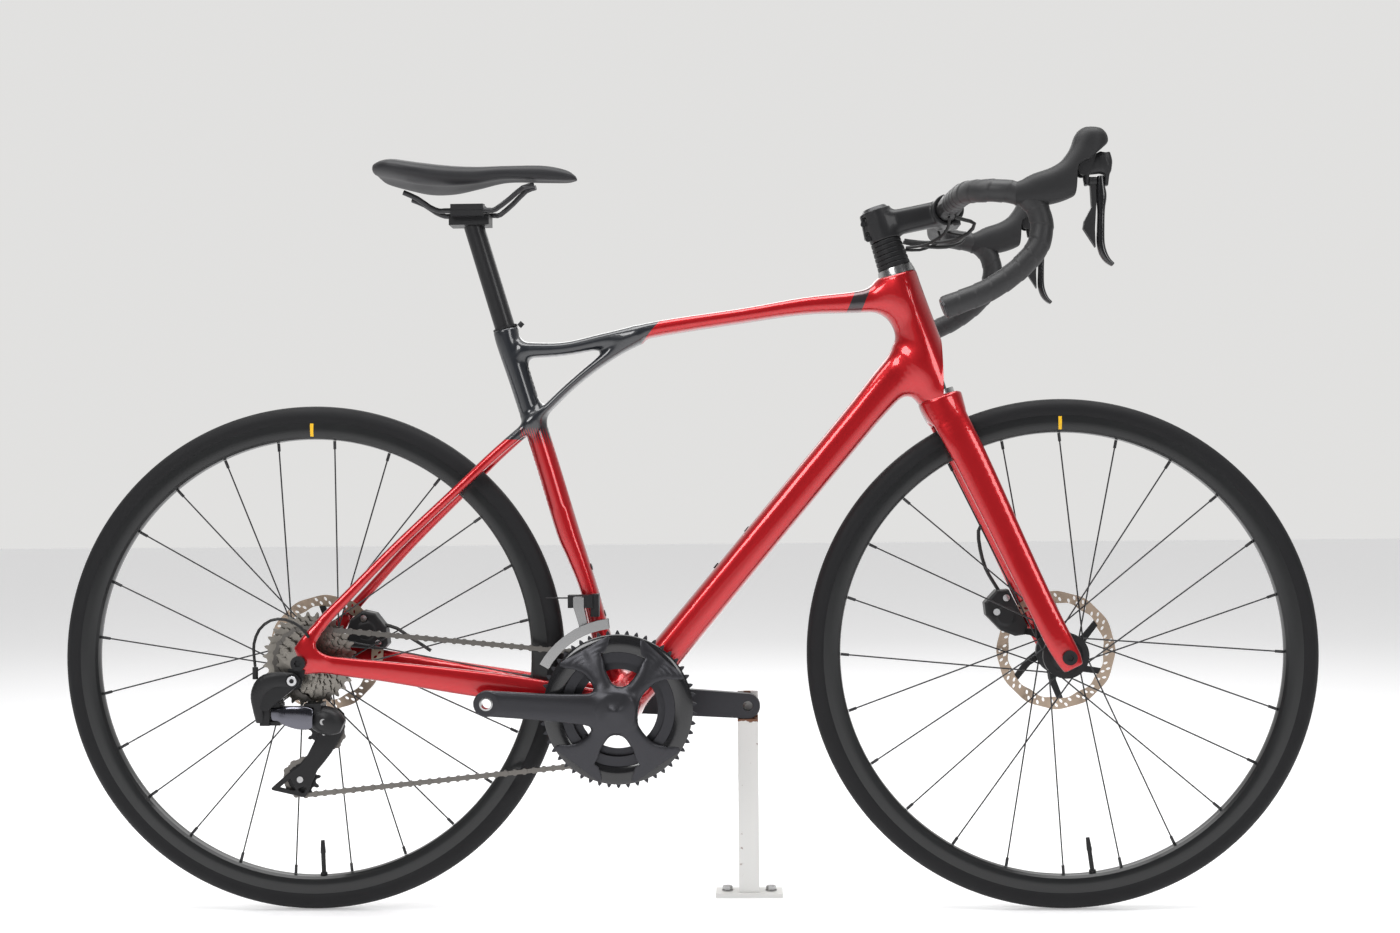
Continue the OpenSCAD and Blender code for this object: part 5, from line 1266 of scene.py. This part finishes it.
def add_camera() -> None:
    """Places the camera where the bicycle is seen from."""
    data = bpy.data.cameras.new("camera")
    cam = bpy.data.objects.new("camera", data)
    bpy.context.scene.collection.objects.link(cam)
    data.sensor_width = 36.0
    data.lens = 42.82
    data.clip_end = 100.0
    pitch, roll = math.radians(0.67), math.radians(0.49)
    level = Vector((-0.0326, 0.9995, 0.0)).normalized()
    ahead = (level * math.cos(pitch) + Vector((0, 0, math.sin(pitch)))).normalized()
    right = ahead.cross(Vector((0, 0, 1))).normalized()
    up = right.cross(ahead)
    right, up = right * math.cos(roll) - up * math.sin(roll), up * math.cos(roll) + right * math.sin(roll)
    turn = Matrix((right, up, -ahead)).transposed()
    cam.matrix_world = Matrix.Translation((0.0944, -2.2321, 0.5641)) @ turn.to_4x4()
    bpy.context.scene.camera = cam


def add_stage() -> None:
    """A pale floor, a pale sky and soft lights."""
    scene = bpy.context.scene
    scene.view_settings.view_transform = "Standard"
    world = bpy.data.worlds.new("studio")
    scene.world = world
    world.use_nodes = True
    # The backdrop side is pale and the room side is dim, so that dark surfaces stay dark.
    b = ShaderBuilder(world.node_tree)
    back = world.node_tree.nodes["Background"]
    split = b.add("ShaderNodeSeparateXYZ")
    world.node_tree.links.new(b.add("ShaderNodeTexCoord").outputs["Generated"], split.inputs[0])
    b.feed(back.inputs["Color"], b.mix_color(b.ramp(split.outputs[1], -0.25, 0.45), (0.13, 0.13, 0.135, 1.0),
                                             (0.84, 0.835, 0.825, 1.0)))
    back.inputs["Strength"].default_value = 0.9
    mat = bpy.data.materials.new("floor")
    mat.use_nodes = True
    shader = mat.node_tree.nodes["Principled BSDF"]
    shader.inputs["Base Color"].default_value = (0.8, 0.8, 0.81, 1.0)
    shader.inputs["Roughness"].default_value = 0.6
    shader.inputs["Emission Color"].default_value = (0.9, 0.9, 0.9, 1.0)
    shader.inputs["Emission Strength"].default_value = 0.34
    mesh = bpy.data.meshes.new("floor")
    reach, drop = 14, -0.0006
    corners = [(-reach, -reach, drop), (reach, -reach, drop), (reach, reach, drop), (-reach, reach, drop)]
    mesh.from_pydata(corners, [], [(0, 1, 2, 3)])
    floor = bpy.data.objects.new("floor", mesh)
    floor.data.materials.append(mat)
    scene.collection.objects.link(floor)
    lights = (
        ("top", (0.0, -0.3, 2.9), (0.0, 0.0, 0.4), (3.4, 1.5), 85.0),
        ("key", (-1.9, -2.8, 2.5), (0.0, 0.0, 0.5), (1.6, 1.2), 50.0),
        ("fill", (2.4, -2.8, 1.9), (0.1, 0.0, 0.5), (1.2, 1.2), 24.0),
        ("back", (0.0, 2.4, 2.2), (0.0, 0.0, 0.6), (3.0, 1.2), 26.0),
    )
    for name, place, target, size, power in lights:
        data = bpy.data.lights.new(name, "AREA")
        data.shape = "RECTANGLE"
        data.size, data.size_y = size
        data.energy = power
        lamp = bpy.data.objects.new(name, data)
        lamp.location = place
        lamp.rotation_euler = (Vector(target) - Vector(place)).to_track_quat("-Z", "Y").to_euler()
        scene.collection.objects.link(lamp)


def main() -> None:
    """Builds the scene."""
    for obj in list(bpy.data.objects):
        bpy.data.objects.remove(obj)
    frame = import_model()
    bike = Bicycle(frame)
    bike.kept()
    bike.frame_shell()
    bike.fork_shell()
    bike.wheels()
    bike.crank()
    bike.rear_derailleur()
    bike.calipers()
    bike.stem_shell()
    bike.spacers()
    bike.hood()
    bike.brackets()
    bike.blades()
    bike.tape()
    bike.saddle()
    add_stage()
    add_camera()


if __name__ == "__main__":
    logging.basicConfig(level=logging.INFO, format="%(name)s: %(message)s")
    main()
